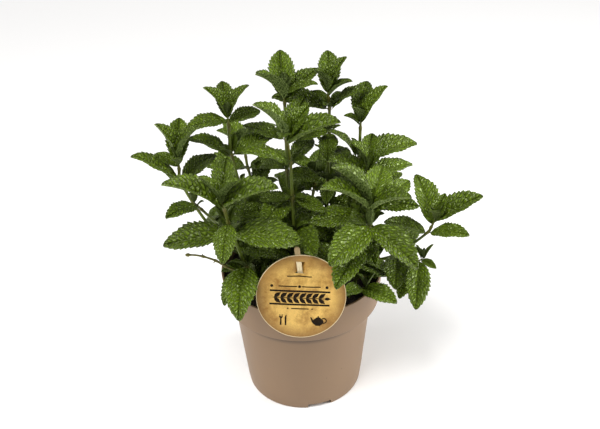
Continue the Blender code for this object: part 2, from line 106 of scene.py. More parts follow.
def add_node(tree, own, result, kind, *terms):
    """Adds the node of a row, and keeps it in own under the row's first word for the rows below.

    A row goes on with a short word or a Math operation and its inputs in order, or with a node's type
    and its settings, in small letters, and inputs by name. An input is a value, an sRGB colour, or an
    earlier result with a colon and its output if it isn't the first. A list holds several."""
    output = []
    if "Node" in kind:
        feeds = dict(*terms)
    else:
        maths = ("ShaderNodeMath", (0, 1, 2), {"operation": kind})
        kind, names, settings, *output = KINDS.get(kind, maths)
        feeds = settings | dict(zip(names, terms))
    node = tree.nodes.new(kind)
    for key, value in feeds.items():
        if str(key).islower():
            setattr(node, key, value)
            continue
        for term in value if isinstance(value, list) else [value]:
            if isinstance(term, str):
                name, _, used = term.partition(":")
                plain = linear(term) if term[0] == "#" else own.get(term, term)
                term = own[name].outputs[used] if used else plain
            if isinstance(term, bpy.types.Node):
                term = next(socket for socket in term.outputs if not socket.is_unavailable)
            if isinstance(term, bpy.types.NodeSocket):
                tree.links.new(term, node.inputs[key])
            else:
                node.inputs[key].default_value = term
    own[result] = node.outputs[output[0]] if output else node
    return node


def new_material(name, *rows, **sockets):
    """A material from rows of nodes and the sockets of its Principled shader; underscores are spaces."""
    made = bpy.data.materials.new(name)
    made.use_nodes = True
    made.node_tree.nodes.clear()
    sockets = {socket.replace("_", " "): value for socket, value in sockets.items()}
    rows += (("shader", "ShaderNodeBsdfPrincipled", sockets),)
    rows += (("end", "ShaderNodeOutputMaterial", {"Surface": "shader"}),)
    own = {}
    for row in rows:
        add_node(made.node_tree, own, *row)
    return made


def new_piece(name, vertices, faces, *materials, edges=()):
    """A piece whose place is in its mesh, with smooth faces."""
    mesh = bpy.data.meshes.new(name)
    mesh.from_pydata(vertices, edges, faces)
    for finish in materials:
        mesh.materials.append(finish)
    mesh.shade_smooth()
    piece = bpy.data.objects.new(name, mesh)
    bpy.context.scene.collection.objects.link(piece)
    return piece


def keep_on(mesh, label, values, kind="FLOAT", domain="POINT"):
    """Writes values onto a mesh under a label, which nodes can read."""
    store = mesh.attributes.new(label, kind, domain)
    store.data.foreach_set("vector" if kind in ("FLOAT_VECTOR", "FLOAT2") else "value", values)


def made_plain(piece):
    """Puts what the piece's modifiers make into its mesh, and takes the modifiers off."""
    seen = piece.evaluated_get(bpy.context.evaluated_depsgraph_get())
    mesh = bpy.data.meshes.new_from_object(seen)
    piece.modifiers.clear()
    piece.data = mesh
    return mesh


def turned(name, profile, steps, *materials):
    """A solid turned round Z from a profile of (radius, height) that starts and ends on the axis."""
    angles = [math.tau * i / steps for i in range(steps)]
    vertices = [Vector((0, 0, profile[0][1]))]
    for radius, height in profile[1:-1]:
        vertices += [Vector((radius * math.cos(a), radius * math.sin(a), height)) for a in angles]
    vertices.append(Vector((0, 0, profile[-1][1])))
    rings = len(profile) - 2
    faces = []
    for j in range(steps):
        k = (j + 1) % steps
        faces.append((0, 1 + j, 1 + k))
        for i in range(rings - 1):
            first = 1 + i * steps
            faces.append((first + j, first + steps + j, first + steps + k, first + k))
        last = 1 + (rings - 1) * steps
        faces.append((last + j, len(vertices) - 1, last + k))
    return new_piece(name, vertices, faces, *materials)


def cut_away(piece, tool):
    """Cuts the tool's shape out of the piece, and removes the tool."""
    step = piece.modifiers.new("cut", "BOOLEAN")
    step.operation = "DIFFERENCE"
    step.solver = "EXACT"
    step.object = tool
    made_plain(piece)
    bpy.data.objects.remove(tool)


def round_corner(before, corner, after, radius):
    """Points that round off a profile's corner."""
    before, corner, after = Vector(before), Vector(corner), Vector(after)
    start = corner + (before - corner).normalized() * radius
    end = corner + (after - corner).normalized() * radius
    steps = (0, 0.25, 0.5, 0.75, 1)
    return [tuple(start * (1 - t) ** 2 + corner * 2 * t * (1 - t) + end * t**2) for t in steps]


pot_low, pot_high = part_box("pot")
RIM_RADIUS = (pot_high.x - pot_low.x) / 2
POT_HEIGHT = pot_high.z
COLLAR_FOOT = 85 * MM
COLLAR_RADIUS = 62.6 * MM
BODY_TOP_RADIUS = 56.6 * MM
FOOT_RADIUS = 48 * MM
WALL = 1.3 * MM
FLOOR_UNDERSIDE = 5 * MM
FLOOR_TOP = 6.6 * MM
CHANNEL_RADII = (33 * MM, 41 * MM)
DRAIN_HOLES, DRAIN_HOLE_RADIUS, DRAIN_AZIMUTH = 6, 3 * MM, 34
NOTCHES, NOTCH_WIDTH, NOTCH_HEIGHT, NOTCH_AZIMUTH = 3, 20 * MM, 4.4 * MM, 14
POT_STEPS = 192

# The profile's corners, as radius, height and rounding: up the inside, over the rim and down again.
pot_corners = [
    (CHANNEL_RADII[0] - 1.6 * MM, 1.6 * MM, 0),
    (CHANNEL_RADII[0] - 0.2 * MM, FLOOR_TOP, 0),
    (FOOT_RADIUS - WALL, FLOOR_TOP, 1.5 * MM),
    (BODY_TOP_RADIUS - WALL, COLLAR_FOOT + 0.4 * MM, 0.6 * MM),
    (COLLAR_RADIUS - WALL, COLLAR_FOOT + 1.6 * MM, 0.6 * MM),
    (RIM_RADIUS - WALL - 0.3 * MM, POT_HEIGHT, 0.35 * MM),
    (RIM_RADIUS, POT_HEIGHT, 0.6 * MM),
    (COLLAR_RADIUS + 0.25 * MM, COLLAR_FOOT, 0.7 * MM),
    (BODY_TOP_RADIUS, COLLAR_FOOT - 0.8 * MM, 0.5 * MM),
    (FOOT_RADIUS + 1.2 * MM, 9 * MM, 2 * MM),
    (FOOT_RADIUS, 0, 1.2 * MM),
    (CHANNEL_RADII[1], 0, 0.4 * MM),
    (CHANNEL_RADII[1] - 0.5 * MM, FLOOR_UNDERSIDE, 0.3 * MM),
    (CHANNEL_RADII[0] + 0.5 * MM, FLOOR_UNDERSIDE, 0.3 * MM),
    (CHANNEL_RADII[0], 0, 0.4 * MM),
]
pot_profile = [(0, 1.6 * MM)]
corner_ends = [(0, 1.6 * MM, 0), *pot_corners, (0, 0, 0)]
for before, corner, after in zip(corner_ends, corner_ends[1:], corner_ends[2:]):
    if corner[2]:
        pot_profile += round_corner(before[:2], corner[:2], after[:2], corner[2])
    else:
        pot_profile.append(corner[:2])
pot_profile.append((0, 0))

# Moulded polypropylene made from household waste: taupe, clouded, with dark specks left in the melt.
# The mould's fine grain keeps it between matt and satin.
plastic = new_material(
    "recycled polypropylene, moulded",
    ("place", "coordinates"),
    ("cloud", "noise", "place", 26.0, 3.0),
    ("base", "mix", "cloud", "#795E43", "#846A4D"),
    # Specks of 0.3 to 0.6 mm, a few on each square centimetre.
    ("speck", "cells", "place", 330.0),
    ("near", "range", "speck", 0.1, 0.22, 1.0, 0.0),
    ("few", "range", "speck:Color", 0.88, 0.9, 0.0, 0.55),
    ("amount", "MULTIPLY", "near", "few"),
    ("colour", "mix", "amount", "base", "#4A392B"),
    # Painted shade: the wall is coloured darker just under the collar's overhang, where its shadow falls.
    ("up", "parts", "place"),
    ("tucked", "soft range", "up:Z", COLLAR_FOOT - 10 * MM, COLLAR_FOOT - 5 * MM, 0.0, 0.75),
    ("below", "LESS_THAN", "up:Z", COLLAR_FOOT - 0.1 * MM),
    ("tucked", "MULTIPLY", "tucked", "below"),
    ("colour", "mix", "tucked", "colour", "#3F2E20"),
    ("grain", "noise", "place", 1400.0, 2.0),
    ("relief", "bump", "grain", 0.12, 0.0002),
    ("rough", "range", "cloud", 0.0, 1.0, 0.42, 0.56),
    Base_Color="colour", Roughness="rough", IOR=1.49, Specular_IOR_Level=0.5, Normal="relief",
)
pot = turned("plant_pot", pot_profile, POT_STEPS, plastic)
low, high = -9 * MM, 12 * MM
drill_profile = [(0, high), (DRAIN_HOLE_RADIUS, high), (DRAIN_HOLE_RADIUS, low), (0, low)]
radius = sum(CHANNEL_RADII) / 2
for i in range(DRAIN_HOLES):
    angle = math.radians(DRAIN_AZIMUTH) + math.tau * i / DRAIN_HOLES
    drill = turned("drill", drill_profile, 24)
    drill.data.transform(Matrix.Translation((radius * math.sin(angle), -radius * math.cos(angle), 0)))
    cut_away(pot, drill)
half, inner, outer = NOTCH_WIDTH / 2, -(CHANNEL_RADII[1] - 3 * MM), -(FOOT_RADIUS + 4 * MM)
spots = [(x, y, z) for x in (-half, half) for y in (outer, inner) for z in (-NOTCH_HEIGHT, NOTCH_HEIGHT)]
sides = [(0, 1, 3, 2), (4, 6, 7, 5), (0, 4, 5, 1), (2, 3, 7, 6), (0, 2, 6, 4), (1, 5, 7, 3)]
for i in range(NOTCHES):
    turn = Matrix.Rotation(math.radians(NOTCH_AZIMUTH) + math.tau * i / NOTCHES, 4, "Z")
    cut_away(pot, new_piece("cutter", [turn @ Vector(spot) for spot in spots], sides))
pot.data.shade_smooth()
pot.data.set_sharp_from_angle(angle=math.radians(40))
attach(pot, "root")
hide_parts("pot")

# Peat --------------------------------------------------------------------------------------------
# Moist dark potting peat, poured in loose and settled by watering to a little under the pot's rim.
# Its surface is crumbs of up to 3 mm, with paler bits of fibre and bark among them.

soil_low, soil_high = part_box("soil")
PEAT_TOP = 104 * MM
PEAT_EDGE = (soil_high.x - soil_low.x) / 2
PEAT_RINGS = 40
PEAT_LUMP = 1.1 * MM
CRUMBS = {"Density": 160000.0, "Smallest": 0.35 * MM, "Largest": 1.5 * MM, "Seed": 4}


def new_tree(name, inputs, *rows):
    """A Geometry Nodes tree from its named inputs and its rows of nodes.

    What the last row makes becomes real, and gets the material that comes in as Finish."""
    tree = bpy.data.node_groups.new(name, "GeometryNodeTree")
    for label, kind in {"Geometry": "Geometry", **inputs}.items():
        tree.interface.new_socket(label, in_out="INPUT", socket_type="NodeSocket" + kind)
    tree.interface.new_socket("Geometry", in_out="OUTPUT", socket_type="NodeSocketGeometry")
    own = {socket.name: socket for socket in add_node(tree, {}, "given", "NodeGroupInput").outputs}
    ending = (
        ("real", "GeometryNodeRealizeInstances", {"Geometry": rows[-1][0]}),
        ("coated", "GeometryNodeSetMaterial", {"Geometry": "real", "Material": "Finish"}),
        ("end", "NodeGroupOutput", {"Geometry": "coated"}),
    )
    for row in rows + ending:
        add_node(tree, own, *row)
    return tree


def grown_with(piece, tree, values):
    """Runs a Geometry Nodes tree on a piece and keeps the result as its plain mesh.

    The modifier knows the tree's inputs by their identifiers."""
    step = piece.modifiers.new("grow", "NODES")
    step.node_group = tree
    for item in tree.interface.items_tree:
        if item.in_out == "INPUT" and item.name in values:
            step[item.identifier] = values[item.name]
    return made_plain(piece)


peat_profile = [(0, PEAT_TOP)]
peat_profile += [(PEAT_EDGE * i / PEAT_RINGS, PEAT_TOP) for i in range(1, PEAT_RINGS + 1)]
peat_profile += [
    (COLLAR_RADIUS - WALL - 0.4 * MM, COLLAR_FOOT + 2 * MM),
    (BODY_TOP_RADIUS - WALL - 0.4 * MM, COLLAR_FOOT),
    (FOOT_RADIUS - WALL - 0.3 * MM, FLOOR_TOP + 0.3 * MM),
    (0, FLOOR_TOP + 0.3 * MM),
]
peat = turned("peat", peat_profile, 160)
for v in peat.data.vertices:
    if v.co.z > PEAT_TOP - 1 * MM:
        broad = noise.noise(v.co * 45) * 1.2
        fine = noise.noise(v.co * 260 + Vector((3, 1, 0)))
        v.co.z += PEAT_LUMP * (broad + 0.5 * fine)
# Peat is nearly black when moist. Crumbs of about 2 mm have their own browns, and only wet spots shine.
damp_peat = new_material(
    "moist potting peat",
    ("place", "coordinates"),
    ("crumb", "cells", "place", 480.0),
    ("dark", "range", "crumb:Color", 0.0, 0.75),
    ("brown", "mix", "dark", "#15100C", "#241A13"),
    ("pale", "range", "crumb:Color", 0.75, 1.0),
    ("brown", "mix", "pale", "brown", "#4A3626"),
    ("damp", "noise", "place", 90.0, 4.0),
    ("rough", "range", "damp", 0.35, 0.6, 0.6, 0.95),
    ("height", "noise", "place", 900.0, 5.0, 0.7),
    ("relief", "bump", "height", 0.8, 0.0006),
    Base_Color="brown", Roughness="rough", Specular_IOR_Level=0.35, Normal="relief",
)
# Strews crumbs over the faces that look up; each is a small lump with its own turn and size.
strewn_crumbs = new_tree(
    "strewn crumbs",
    {"Density": "Float", "Smallest": "Float", "Largest": "Float", "Seed": "Int", "Finish": "Material"},
    ("normal", "GeometryNodeInputNormal"),
    ("up", "parts", "normal"),
    ("upward", "GREATER_THAN", "up:Z", 0.5),
    (
        "spots",
        "GeometryNodeDistributePointsOnFaces",
        {"Mesh": "Geometry", "Selection": "upward", "Density": "Density", "Seed": "Seed"},
    ),
    ("lump", "GeometryNodeMeshIcoSphere", {"Radius": 1.0, "Subdivisions": 1}),
    ("size", "random", "FLOAT", "Smallest", "Largest", "Seed"),
    ("turn", "random", "FLOAT_VECTOR", (0, 0, 0), (6.3, 6.3, 6.3), "Seed"),
    ("turn", "FunctionNodeEulerToRotation", {"Euler": "turn"}),
    ("stretch", "random", "FLOAT_VECTOR", (0.6, 0.5, 0.4), (1.2, 1, 0.9), 7),
    ("scale", "scaled", "stretch", "size"),
    (
        "crumbs",
        "GeometryNodeInstanceOnPoints",
        {"Points": "spots", "Instance": "lump", "Rotation": "turn", "Scale": "scale"},
    ),
    ("joined", "GeometryNodeJoinGeometry", {"Geometry": ["crumbs", "Geometry"]}),
)
grown_with(peat, strewn_crumbs, CRUMBS | {"Finish": damp_peat})
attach(peat, "root")
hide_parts("soil")

# Stems -------------------------------------------------------------------------------------------
# Mint stems are square, with a rounded edge at each corner and a shallow groove down each side.
# They swell where a pair of leaves grows, and the sun turns them red-brown near those nodes.

# Each shoot's way up in millimetres, its crown's leaves and its leaf pairs, as the solid plant has
# them. A leaf is (azimuth, rise, length): azimuth 0 points to the front and 90 to the right.
SHOOTS = {
    "a": (
        [(-8, 6), (-9, 16, 165), (-9, 24, 214), (-9, 25, 248)],
        [(122, 33, 36), (-175, 47, 40), (-60, 49, 38), (5, 60, 22), (79, 65, 28)],
        {2: [(-105, 12, 34), (80, 15, 32)], 1: [(-8, 2, 44), (174, 5, 40)]},
    ),
    "b": (
        [(16, 16), (22, 27, 150), (24, 30, 196), (25, 32, 235), (24, 32, 248)],
        [(65, 40, 24), (-176, 44, 36), (115, 50, 30), (-60, 62, 22)],
        {
            3: [(-94, 26, 44), (76, 36, 34)],
            2: [(-32, 44, 26), (35, 31, 28)],
            1: [(-70, 5, 44), (108, 0, 42)],
        },
    ),
    "c": (
        [(30, 8), (42, 16, 150), (47, 19, 199), (48, 20, 228)],
        [(-78, 37, 16), (166, 42, 36), (99, 48, 34), (-10, 50, 22)],
        {2: [(-84, 38, 34), (101, 8, 46)], 1: [(-12, 0, 44), (165, 5, 40)]},
    ),
    "d": (
        [(-22, 8), (-40, 14, 155), (-51, 15, 206), (-52, 20, 234)],
        [(122, 5, 28), (-56, 8, 36), (-169, 41, 32), (-112, 49, 29), (136, 54, 28)],
        {2: [(-81, 29, 36), (118, 24, 38)], 1: [(14, 0, 44), (-160, 5, 40)]},
    ),
    "e": (
        [(-38, -2), (-68, -4, 150), (-89, -5, 195), (-89, -5, 211)],
        [(-112, 24, 20), (-8, 42, 20), (179, 45, 36), (-87, 60, 34), (92, 70, 32)],
        {2: [(-76, 48, 44), (135, 14, 36)]},
    ),
    "f": (
        [(-4, -16), (-5, -8, 150), (-6, 0, 206), (-8, 0, 225)],
        [(68, 31, 48), (153, 37, 40), (128, 45, 30), (-72, 55, 40), (-15, 62, 24)],
        {2: [(-64, 26, 42), (150, 10, 34)], 1: [(17, 14, 52), (178, 0, 42)]},
    ),
    "g": (
        [(-34, -26), (-42, -35, 137), (-50, -40, 170), (-52, -41, 180), (-55, -40, 195)],
        [(-88, 27, 48), (72, 28, 48), (176, 31, 40), (-83, 58, 28), (60, 62, 26)],
        {
            3: [(-4, -16, 37), (172, 10, 36)],
            2: [(-84, -7, 50), (74, 0, 52)],
            1: [(2, -10, 52), (-42, -42, 33)],
        },
    ),
    "h": ([(-36, -12), (-60, -17, 160), (-76, -20, 183)], [(-39, 9, 33), (60, 40, 8)], {}),
    "j": (
        [(36, -6), (46, -3, 140), (51, -1, 180), (52, 0, 196)],
        [(114, -2, 40), (-73, 28, 36), (168, 38, 33), (109, 41, 22), (-84, 62, 29)],
        {2: [(15, 20, 34), (-165, 10, 36)]},
    ),
    "k": (
        [(24, -26), (38, -38, 130), (45, -42, 155), (51, -41, 174), (50, -40, 187)],
        [(127, 18, 42), (160, 27, 42), (58, 32, 38), (-69, 34, 46), (-79, 56, 46)],
        {3: [(-39, -8, 50), (36, -13, 50)], 2: [(-27, -6, 46), (120, 5, 36)]},
    ),
    "l": (
        [(46, -6), (76, -9, 126), (99, -12, 148), (103, -11, 156)],
        [(-164, 38, 44), (140, 48, 25), (96, 52, 42), (-30, 52, 20)],
        {2: [(-76, 21, 37), (53, 15, 34)], 1: [(-8, -5, 40), (150, 5, 38)]},
    ),
    "m": (
        [(42, -20), (72, -25, 118), (91, -27, 132)],
        [(-42, -46, 32), (-10, -27, 42), (43, -2, 15), (-114, 60, 12)],
        {},
    ),
    "n": (
        [(-18, 30), (-32, 44, 140), (-42, 56, 172), (-44, 60, 186)],
        [(-150, 30, 38), (110, 35, 34), (-80, 45, 30), (20, 58, 28)],
        {2: [(-95, 5, 42), (92, 8, 40)]},
    ),
    "o": (
        [(4, 36), (8, 46, 130), (12, 56, 148), (14, 58, 158)],
        [(170, 22, 36), (90, 34, 32), (-90, 38, 34), (0, 62, 26)],
        {2: [(130, 6, 42), (-130, 2, 42)]},
    ),
    "p": (
        [(34, 26), (48, 34, 124), (58, 40, 142), (61, 41, 153)],
        [(130, 15, 36), (45, 30, 32), (-120, 48, 30), (-45, 50, 24)],
        {2: [(75, 5, 40), (170, 0, 42)]},
    ),
    "q": ([(36, -34), (46, -39, 116)], [(44, 6, 35), (-49, 15, 23)], {}),
}
GROUND_HEIGHTS = (90 * MM, 104 * MM, 108 * MM)
STEM_RADIUS = 1.45 * MM
STEM_TIP_SHARE = 0.72
NODE_SPACING = 21 * MM
LONGEST_BARE = 36 * MM
LOWEST_NODE = PEAT_TOP + 9 * MM
BUD_MIDDLE = 4.3 * MM
TIP_LENGTH = 9 * MM
POINT_SPACING = 1.2 * MM


def way_through(way):
    """The points and the headings of a stem: straight up out of the peat, then along its way to the bud."""
    x, y = way[0]
    points = [Vector((x * MM, y * MM, z)) for z in GROUND_HEIGHTS] + [Vector(p) * MM for p in way[1:]]
    points[-1] -= (points[-1] - points[-2]).normalized() * BUD_MIDDLE
    ends = [points[0], *points, points[-1]]
    headings = [(after - before).normalized() for before, after in zip(ends, ends[2:])]
    count = len(GROUND_HEIGHTS)
    return points, [Vector((0, 0, 1))] * count + headings[count:]


def smooth_line(points, headings):
    """Close points along the smooth curve through the given ones."""
    line = []
    for a, b, out, into in zip(points, points[1:], headings, headings[1:]):
        span = (b - a).length
        count = max(2, round(span / POINT_SPACING))
        for j in range(count):
            t = j / count
            start = a * (2 * t**3 - 3 * t**2 + 1) + out * span * (t**3 - 2 * t**2 + t)
            line.append(start + b * (3 * t**2 - 2 * t**3) + into * span * (t**3 - t**2))
    return line + [points[-1]]


def nearest_on(line, point):
    return min(range(len(line)), key=lambda i: (line[i] - point).length_squared)


def stem_nodes(line, tops):
    """Where leaves grow: at the given points, midway between far ones, and evenly down to the peat."""
    found = [nearest_on(line, top) for top in tops]
    i = min(found) if found else len(line) - 1
    for low, high in zip(sorted(found), sorted(found)[1:]):
        if (high - low) * POINT_SPACING > LONGEST_BARE:
            found.append((low + high) // 2)
    travelled = 0
    while i > 0:
        travelled += (line[i] - line[i - 1]).length
        i -= 1
        if line[i].z < LOWEST_NODE:
            break
        if travelled > NODE_SPACING:
            found.append(i)
            travelled = 0
    return sorted(found, reverse=True)


def sweep(name, lines, radii, flush, groove, tree, finish):
    """Sweeps a skin along lines of points as one piece; radii and flush have a number for each point."""
    edges, points = [], []
    for line in lines:
        edges += [(len(points) + i, len(points) + i + 1) for i in range(len(line) - 1)]
        points += line
    piece = new_piece(name, points, (), edges=edges)
    keep_on(piece.data, "radius_here", radii)
    keep_on(piece.data, "flush", flush)
    mesh = grown_with(piece, tree, {"Groove": groove, "Finish": finish})
    mesh.attributes.remove(mesh.attributes["radius_here"])
    mesh.shade_smooth()
    return piece


# Sweeps a square profile with rounded corners and grooved sides along a line of points.
square_stem = new_tree(
    "square stem",
    {"Groove": "Float", "Finish": "Material"},
    ("line", "GeometryNodeMeshToCurve", {"Mesh": "Geometry"}),
    ("width", "attribute", "FLOAT", "radius_here"),
    ("ring", "GeometryNodeCurvePrimitiveCircle", {"Resolution": 16, "Radius": 1.0}),
    # Each point of the ring moves out at the four corners and in at the four sides.
    ("spot", "GeometryNodeInputPosition"),
    ("plan", "parts", "spot"),
    ("angle", "ARCTAN2", "plan:Y", "plan:X"),
    ("angle", "MULTIPLY", "angle", 4.0),
    ("wave", "COSINE", "angle"),
    ("bulge", "MULTIPLY_ADD", "wave", "Groove", 1.0),
    ("moved", "scaled", "spot", "bulge"),
    ("ring", "GeometryNodeSetPosition", {"Geometry": "ring", "Position": "moved"}),
    (
        "swept",
        "GeometryNodeCurveToMesh",
        {"Curve": "line", "Profile Curve": "ring", "Scale": "width", "Fill Caps": True},
    ),
)
# Living stem: waxy green skin with fine lengthwise streaks, flushed red-brown near the nodes.
stem_skin = new_material(
    "mint stem skin",
    ("place", "coordinates"),
    ("drawn", "stretched", "place", (1, 1, 0.15)),
    ("streak", "noise", "drawn", 1900.0, 3.0),
    ("flush", "number kept in", "flush"),
    ("uneven", "MULTIPLY", "flush", "streak"),
    ("uneven", "ShaderNodeMath", {"operation": "MULTIPLY", "use_clamp": True, 0: "uneven", 1: 1.6}),
    ("green", "mix", "streak", "#48590F", "#6F8030"),
    ("skin", "mix", "uneven", "green", "#5A3A26"),
    ("relief", "bump", "streak", 0.35, 0.0003),
    Base_Color="skin", Roughness=0.42, Specular_IOR_Level=0.3, Normal="relief",
)
stems = {}
for shoot, (way, crown, pairs) in SHOOTS.items():
    points, headings = way_through(way)
    line = smooth_line(points, headings)
    tops = [points[at + len(GROUND_HEIGHTS) - 1] for at in pairs]
    nodes = stem_nodes(line, tops)
    crown_at = len(line) - 1
    line += [points[-1] + headings[-1] * TIP_LENGTH * i / 6 for i in range(1, 7)]
    radii, flush = [], []
    for i, point in enumerate(line):
        to_node = min(abs((line[n] - point).length) for n in [*nodes, crown_at])
        taper = 1 + (STEM_TIP_SHARE - 1) * min(1, i / crown_at)
        taper *= 1 - 0.75 * max(0, i - crown_at) / (len(line) - 1 - crown_at)
        swelling = 0.3 * math.exp(-((to_node / (1.7 * MM)) ** 2)) if i <= crown_at else 0
        radii.append(STEM_RADIUS * taper * (1 + swelling))
        flush.append(0.05 + 0.5 * math.exp(-((to_node / (6 * MM)) ** 2)))
    stem = sweep("mint_stem_" + shoot, [line], radii, flush, 0.1, square_stem, stem_skin)
    stems[shoot] = (line, nodes, points, headings)
    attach(stem, "root")
    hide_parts("stem_" + shoot)

# Twig --------------------------------------------------------------------------------------------
# A bare dead twig, which the plant's first growth left low on the left: round and knobby, with the
# stubs of its fallen leaves and a dry bud at its end.

TWIG_WAY = [(-42, -22), (-62, -36, 142), (-70, -38, 148), (-78, -40, 152), (-90, -43, 155)]
TWIG_RADIUS = 1.1 * MM
TWIG_KNOBS = (0.45, 0.6, 0.72, 0.84)
TWIG_BUD = 4 * MM

# Dry bark of a thin shoot: dull olive brown, streaked along its length and a little split.
bark = new_material(
    "dry mint bark",
    ("place", "coordinates"),
    ("drawn", "stretched", "place", (0.25, 1, 1)),
    ("streak", "noise", "drawn", 1500.0, 4.0),
    ("colour", "mix", "streak", "#4E4A1C", "#8F8A4A"),
    ("relief", "bump", "streak", 0.7, 0.0004),
    Base_Color="colour", Roughness=0.72, Specular_IOR_Level=0.35, Normal="relief",
)
points, headings = way_through(TWIG_WAY)
line = smooth_line(points, headings)
last = len(line) - 1
radii = []
for i, point in enumerate(line):
    share = i / last
    knob = sum(math.exp(-(((share - at) / 0.014) ** 2)) for at in TWIG_KNOBS)
    bud = math.exp(-(((point - line[-1]).length / TWIG_BUD - 0.5) ** 2) / 0.12)
    uneven = 0.08 * noise.noise(point * 400)
    radii.append(TWIG_RADIUS * (1 - 0.35 * share + 0.4 * knob + 0.75 * bud + uneven))
radii[-1] *= 0.3
lines = [line]
for number, at in enumerate(TWIG_KNOBS):
    foot = line[round(at * last)]
    turn = math.radians(140 * number + 60)
    away = Vector((-0.4, -0.5 * math.cos(turn), math.sin(turn))).normalized()
    lines.append([foot + away * i * 0.7 * MM for i in range(5)])
    radii += [0.5 * MM * (1 - 0.12 * i) for i in range(4)] + [0.15 * MM]
twig = sweep("dry_twig", lines, radii, [0.0] * len(radii), 0.02, square_stem, bark)
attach(twig, "root")
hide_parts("twig")

# Leaves ------------------------------------------------------------------------------------------
# Each leaf is a thin folded blade, toothed along its edges and puckered between sunken veins. Two
# grow opposite each other at every node, each pair square to the next, and the youngest crowd round
# the tip. Every leaf turns aside for what is there already.

STATIONS = (0, 0.12, 0.36, 0.7, 1)
WIDTHS = (0, 0.45, 1, 0.8, 0)
LEAF_WIDTH = 0.48
LEAF_ARCH = 0.09
LEAF_FOLD = 0.3
BLADE_HALF = 0.4 * MM
CLEAR_HALF = 0.75 * MM
NODE_REACH = 2.35 * MM
FRONT_ROLL = 0.35
WITHIN = 0.975 * MM
BUD_STEP, BUD_REACH = 1.4 * MM, 0.9 * MM
AXIL_HEIGHT = Vector((0, 0, 1.5 * MM))
LARGEST_SMALL = 24 * MM


def heading(azimuth, rise):
    a, r = math.radians(azimuth), math.radians(rise)
    return Vector((math.sin(a) * math.cos(r), -math.cos(a) * math.cos(r), math.sin(r)))


def leaf_frame(base, azimuth, rise):
    """X runs from base to tip, and Z is the leaf's upper side."""
    along, up = heading(azimuth, rise), heading(azimuth, rise + 90)
    return Matrix.Translation(base) @ Matrix((along, up.cross(along), up)).transposed().to_4x4()


def rolled(leaf):
    """Leaves that stand out to either side turn their upper faces to the front, where the light is."""
    return leaf @ Matrix.Rotation(FRONT_ROLL * leaf.col[0].x, 4, "X")


def blade_spot(station, side, length):
    """A point of the plain blade in its own frame; side is -1 and 1 at the edges."""
    share = STATIONS[station]
    least = 1.2 * MM if station == len(STATIONS) - 1 else 0.7 * MM
    y = side * max(least, WIDTHS[station] * length * LEAF_WIDTH / 2)
    return Vector((share * length, y, 4 * LEAF_ARCH * length * share * (1 - share) + LEAF_FOLD * abs(y)))


def blade_slab(frame, length, half):
    """The leaf with some air round it, from its second station to its tip."""
    corners = [
        frame @ (blade_spot(station, side, length) + Vector((0, 0, layer)))
        for layer in (half, -half)
        for station in range(1, len(STATIONS))
        for side in (-1, 0, 1)
    ]
    under = len(corners) // 2
    faces = []
    for k in range(0, under - 3, 3):
        for i in (k, k + 1, k + under, k + under + 1):
            faces.append((i, i + 3, i + 4, i + 1))
        faces += [(i, i + 3, i + 3 + under, i + under) for i in (k, k + 2)]
    return BVHTree.FromPolygons(corners, faces)


# How far a leaf may turn and tilt from the way it aims at, in degrees, the nearest first.
angles = range(-48, 49, 6)
TRIES = [(turn, tilt) for turn in angles for tilt in angles]
TRIES.sort(key=lambda t: (t[0] ** 2 + t[1] ** 2, t))


def base_at(place, reach=NODE_REACH, above=Vector()):
    """Where a leaf starts: out from a place by reach, in the direction that the leaf turns to."""
    return lambda azimuth: place + heading(azimuth, 0) * reach + above


def solid_frame(corners, base_of, azimuth, rise, length):
    """The frame that a leaf of the solid plant really took: the try whose corners lie on the solid."""
    best = None
    for turn, tilt in TRIES:
        frame = leaf_frame(base_of(azimuth + turn), azimuth + turn, rise + tilt)
        spots = [frame @ blade_spot(*spot, length) for spot in ((4, 0), (3, 0), (2, -1), (2, 1))]
        gap = sum(corners.find(spot)[2] for spot in spots)
        if best is None or gap < best[0]:
            best = (gap, frame)
        if gap < 1.9 * MM:
            break
    return best[1] if best[0] < 4 * MM else None


def free_frame(base_of, azimuth, rise, length):
    """The nearest direction in which a new leaf is clear of everything else and where it may grow."""
    for turn, tilt in TRIES:
        frame = leaf_frame(base_of(azimuth + turn), azimuth + turn, rise + tilt)
        if not all(allowed(frame @ blade_spot(station, 0, length)) for station in (4, 2)):
            continue
        slab = blade_slab(rolled(frame), length, CLEAR_HALF)
        if not any(slab.overlap(other) for other in taken):
            return rolled(frame)
    return None


def surface_of(node):
    mesh = frame["nodes"][node].data
    return BVHTree.FromPolygons([v.co for v in mesh.vertices], [tuple(p.vertices) for p in mesh.polygons])


def corners_of(node):
    vertices = frame["nodes"][node].data.vertices
    tree = KDTree(len(vertices))
    for v in vertices:
        tree.insert(v.co, v.index)
    tree.balance()
    return tree


CARD_FRONT, CARD_SIDE, CARD_TOP = -45 * MM, 36 * MM, 165 * MM
LEAFY_RADIUS = 68 * MM


def allowed(spot):
    """A new leaf keeps off the label and the rim, and stays among the stems."""
    if spot.y < CARD_FRONT and abs(spot.x) < CARD_SIDE and spot.z < CARD_TOP:
        return False
    return spot.z >= POT_HEIGHT + 3 * MM and spot.xy.length <= LEAFY_RADIUS


rng = np.random.default_rng(11)
leaves = {shoot: [] for shoot in SHOOTS}
taken = [surface_of(node) for node in ("pot", "soil", "label_card", "label_stick", "twig")]
taken += [surface_of("stem_" + shoot) for shoot in SHOOTS]
replaced = {shoot: [] for shoot in SHOOTS}


def take(shoot, leaf, length, age, kind):
    """Keeps a leaf's place, and writes it in its shoot's list."""
    taken.append(blade_slab(leaf, length, BLADE_HALF))
    leaves[shoot].append((leaf, length, age, kind))


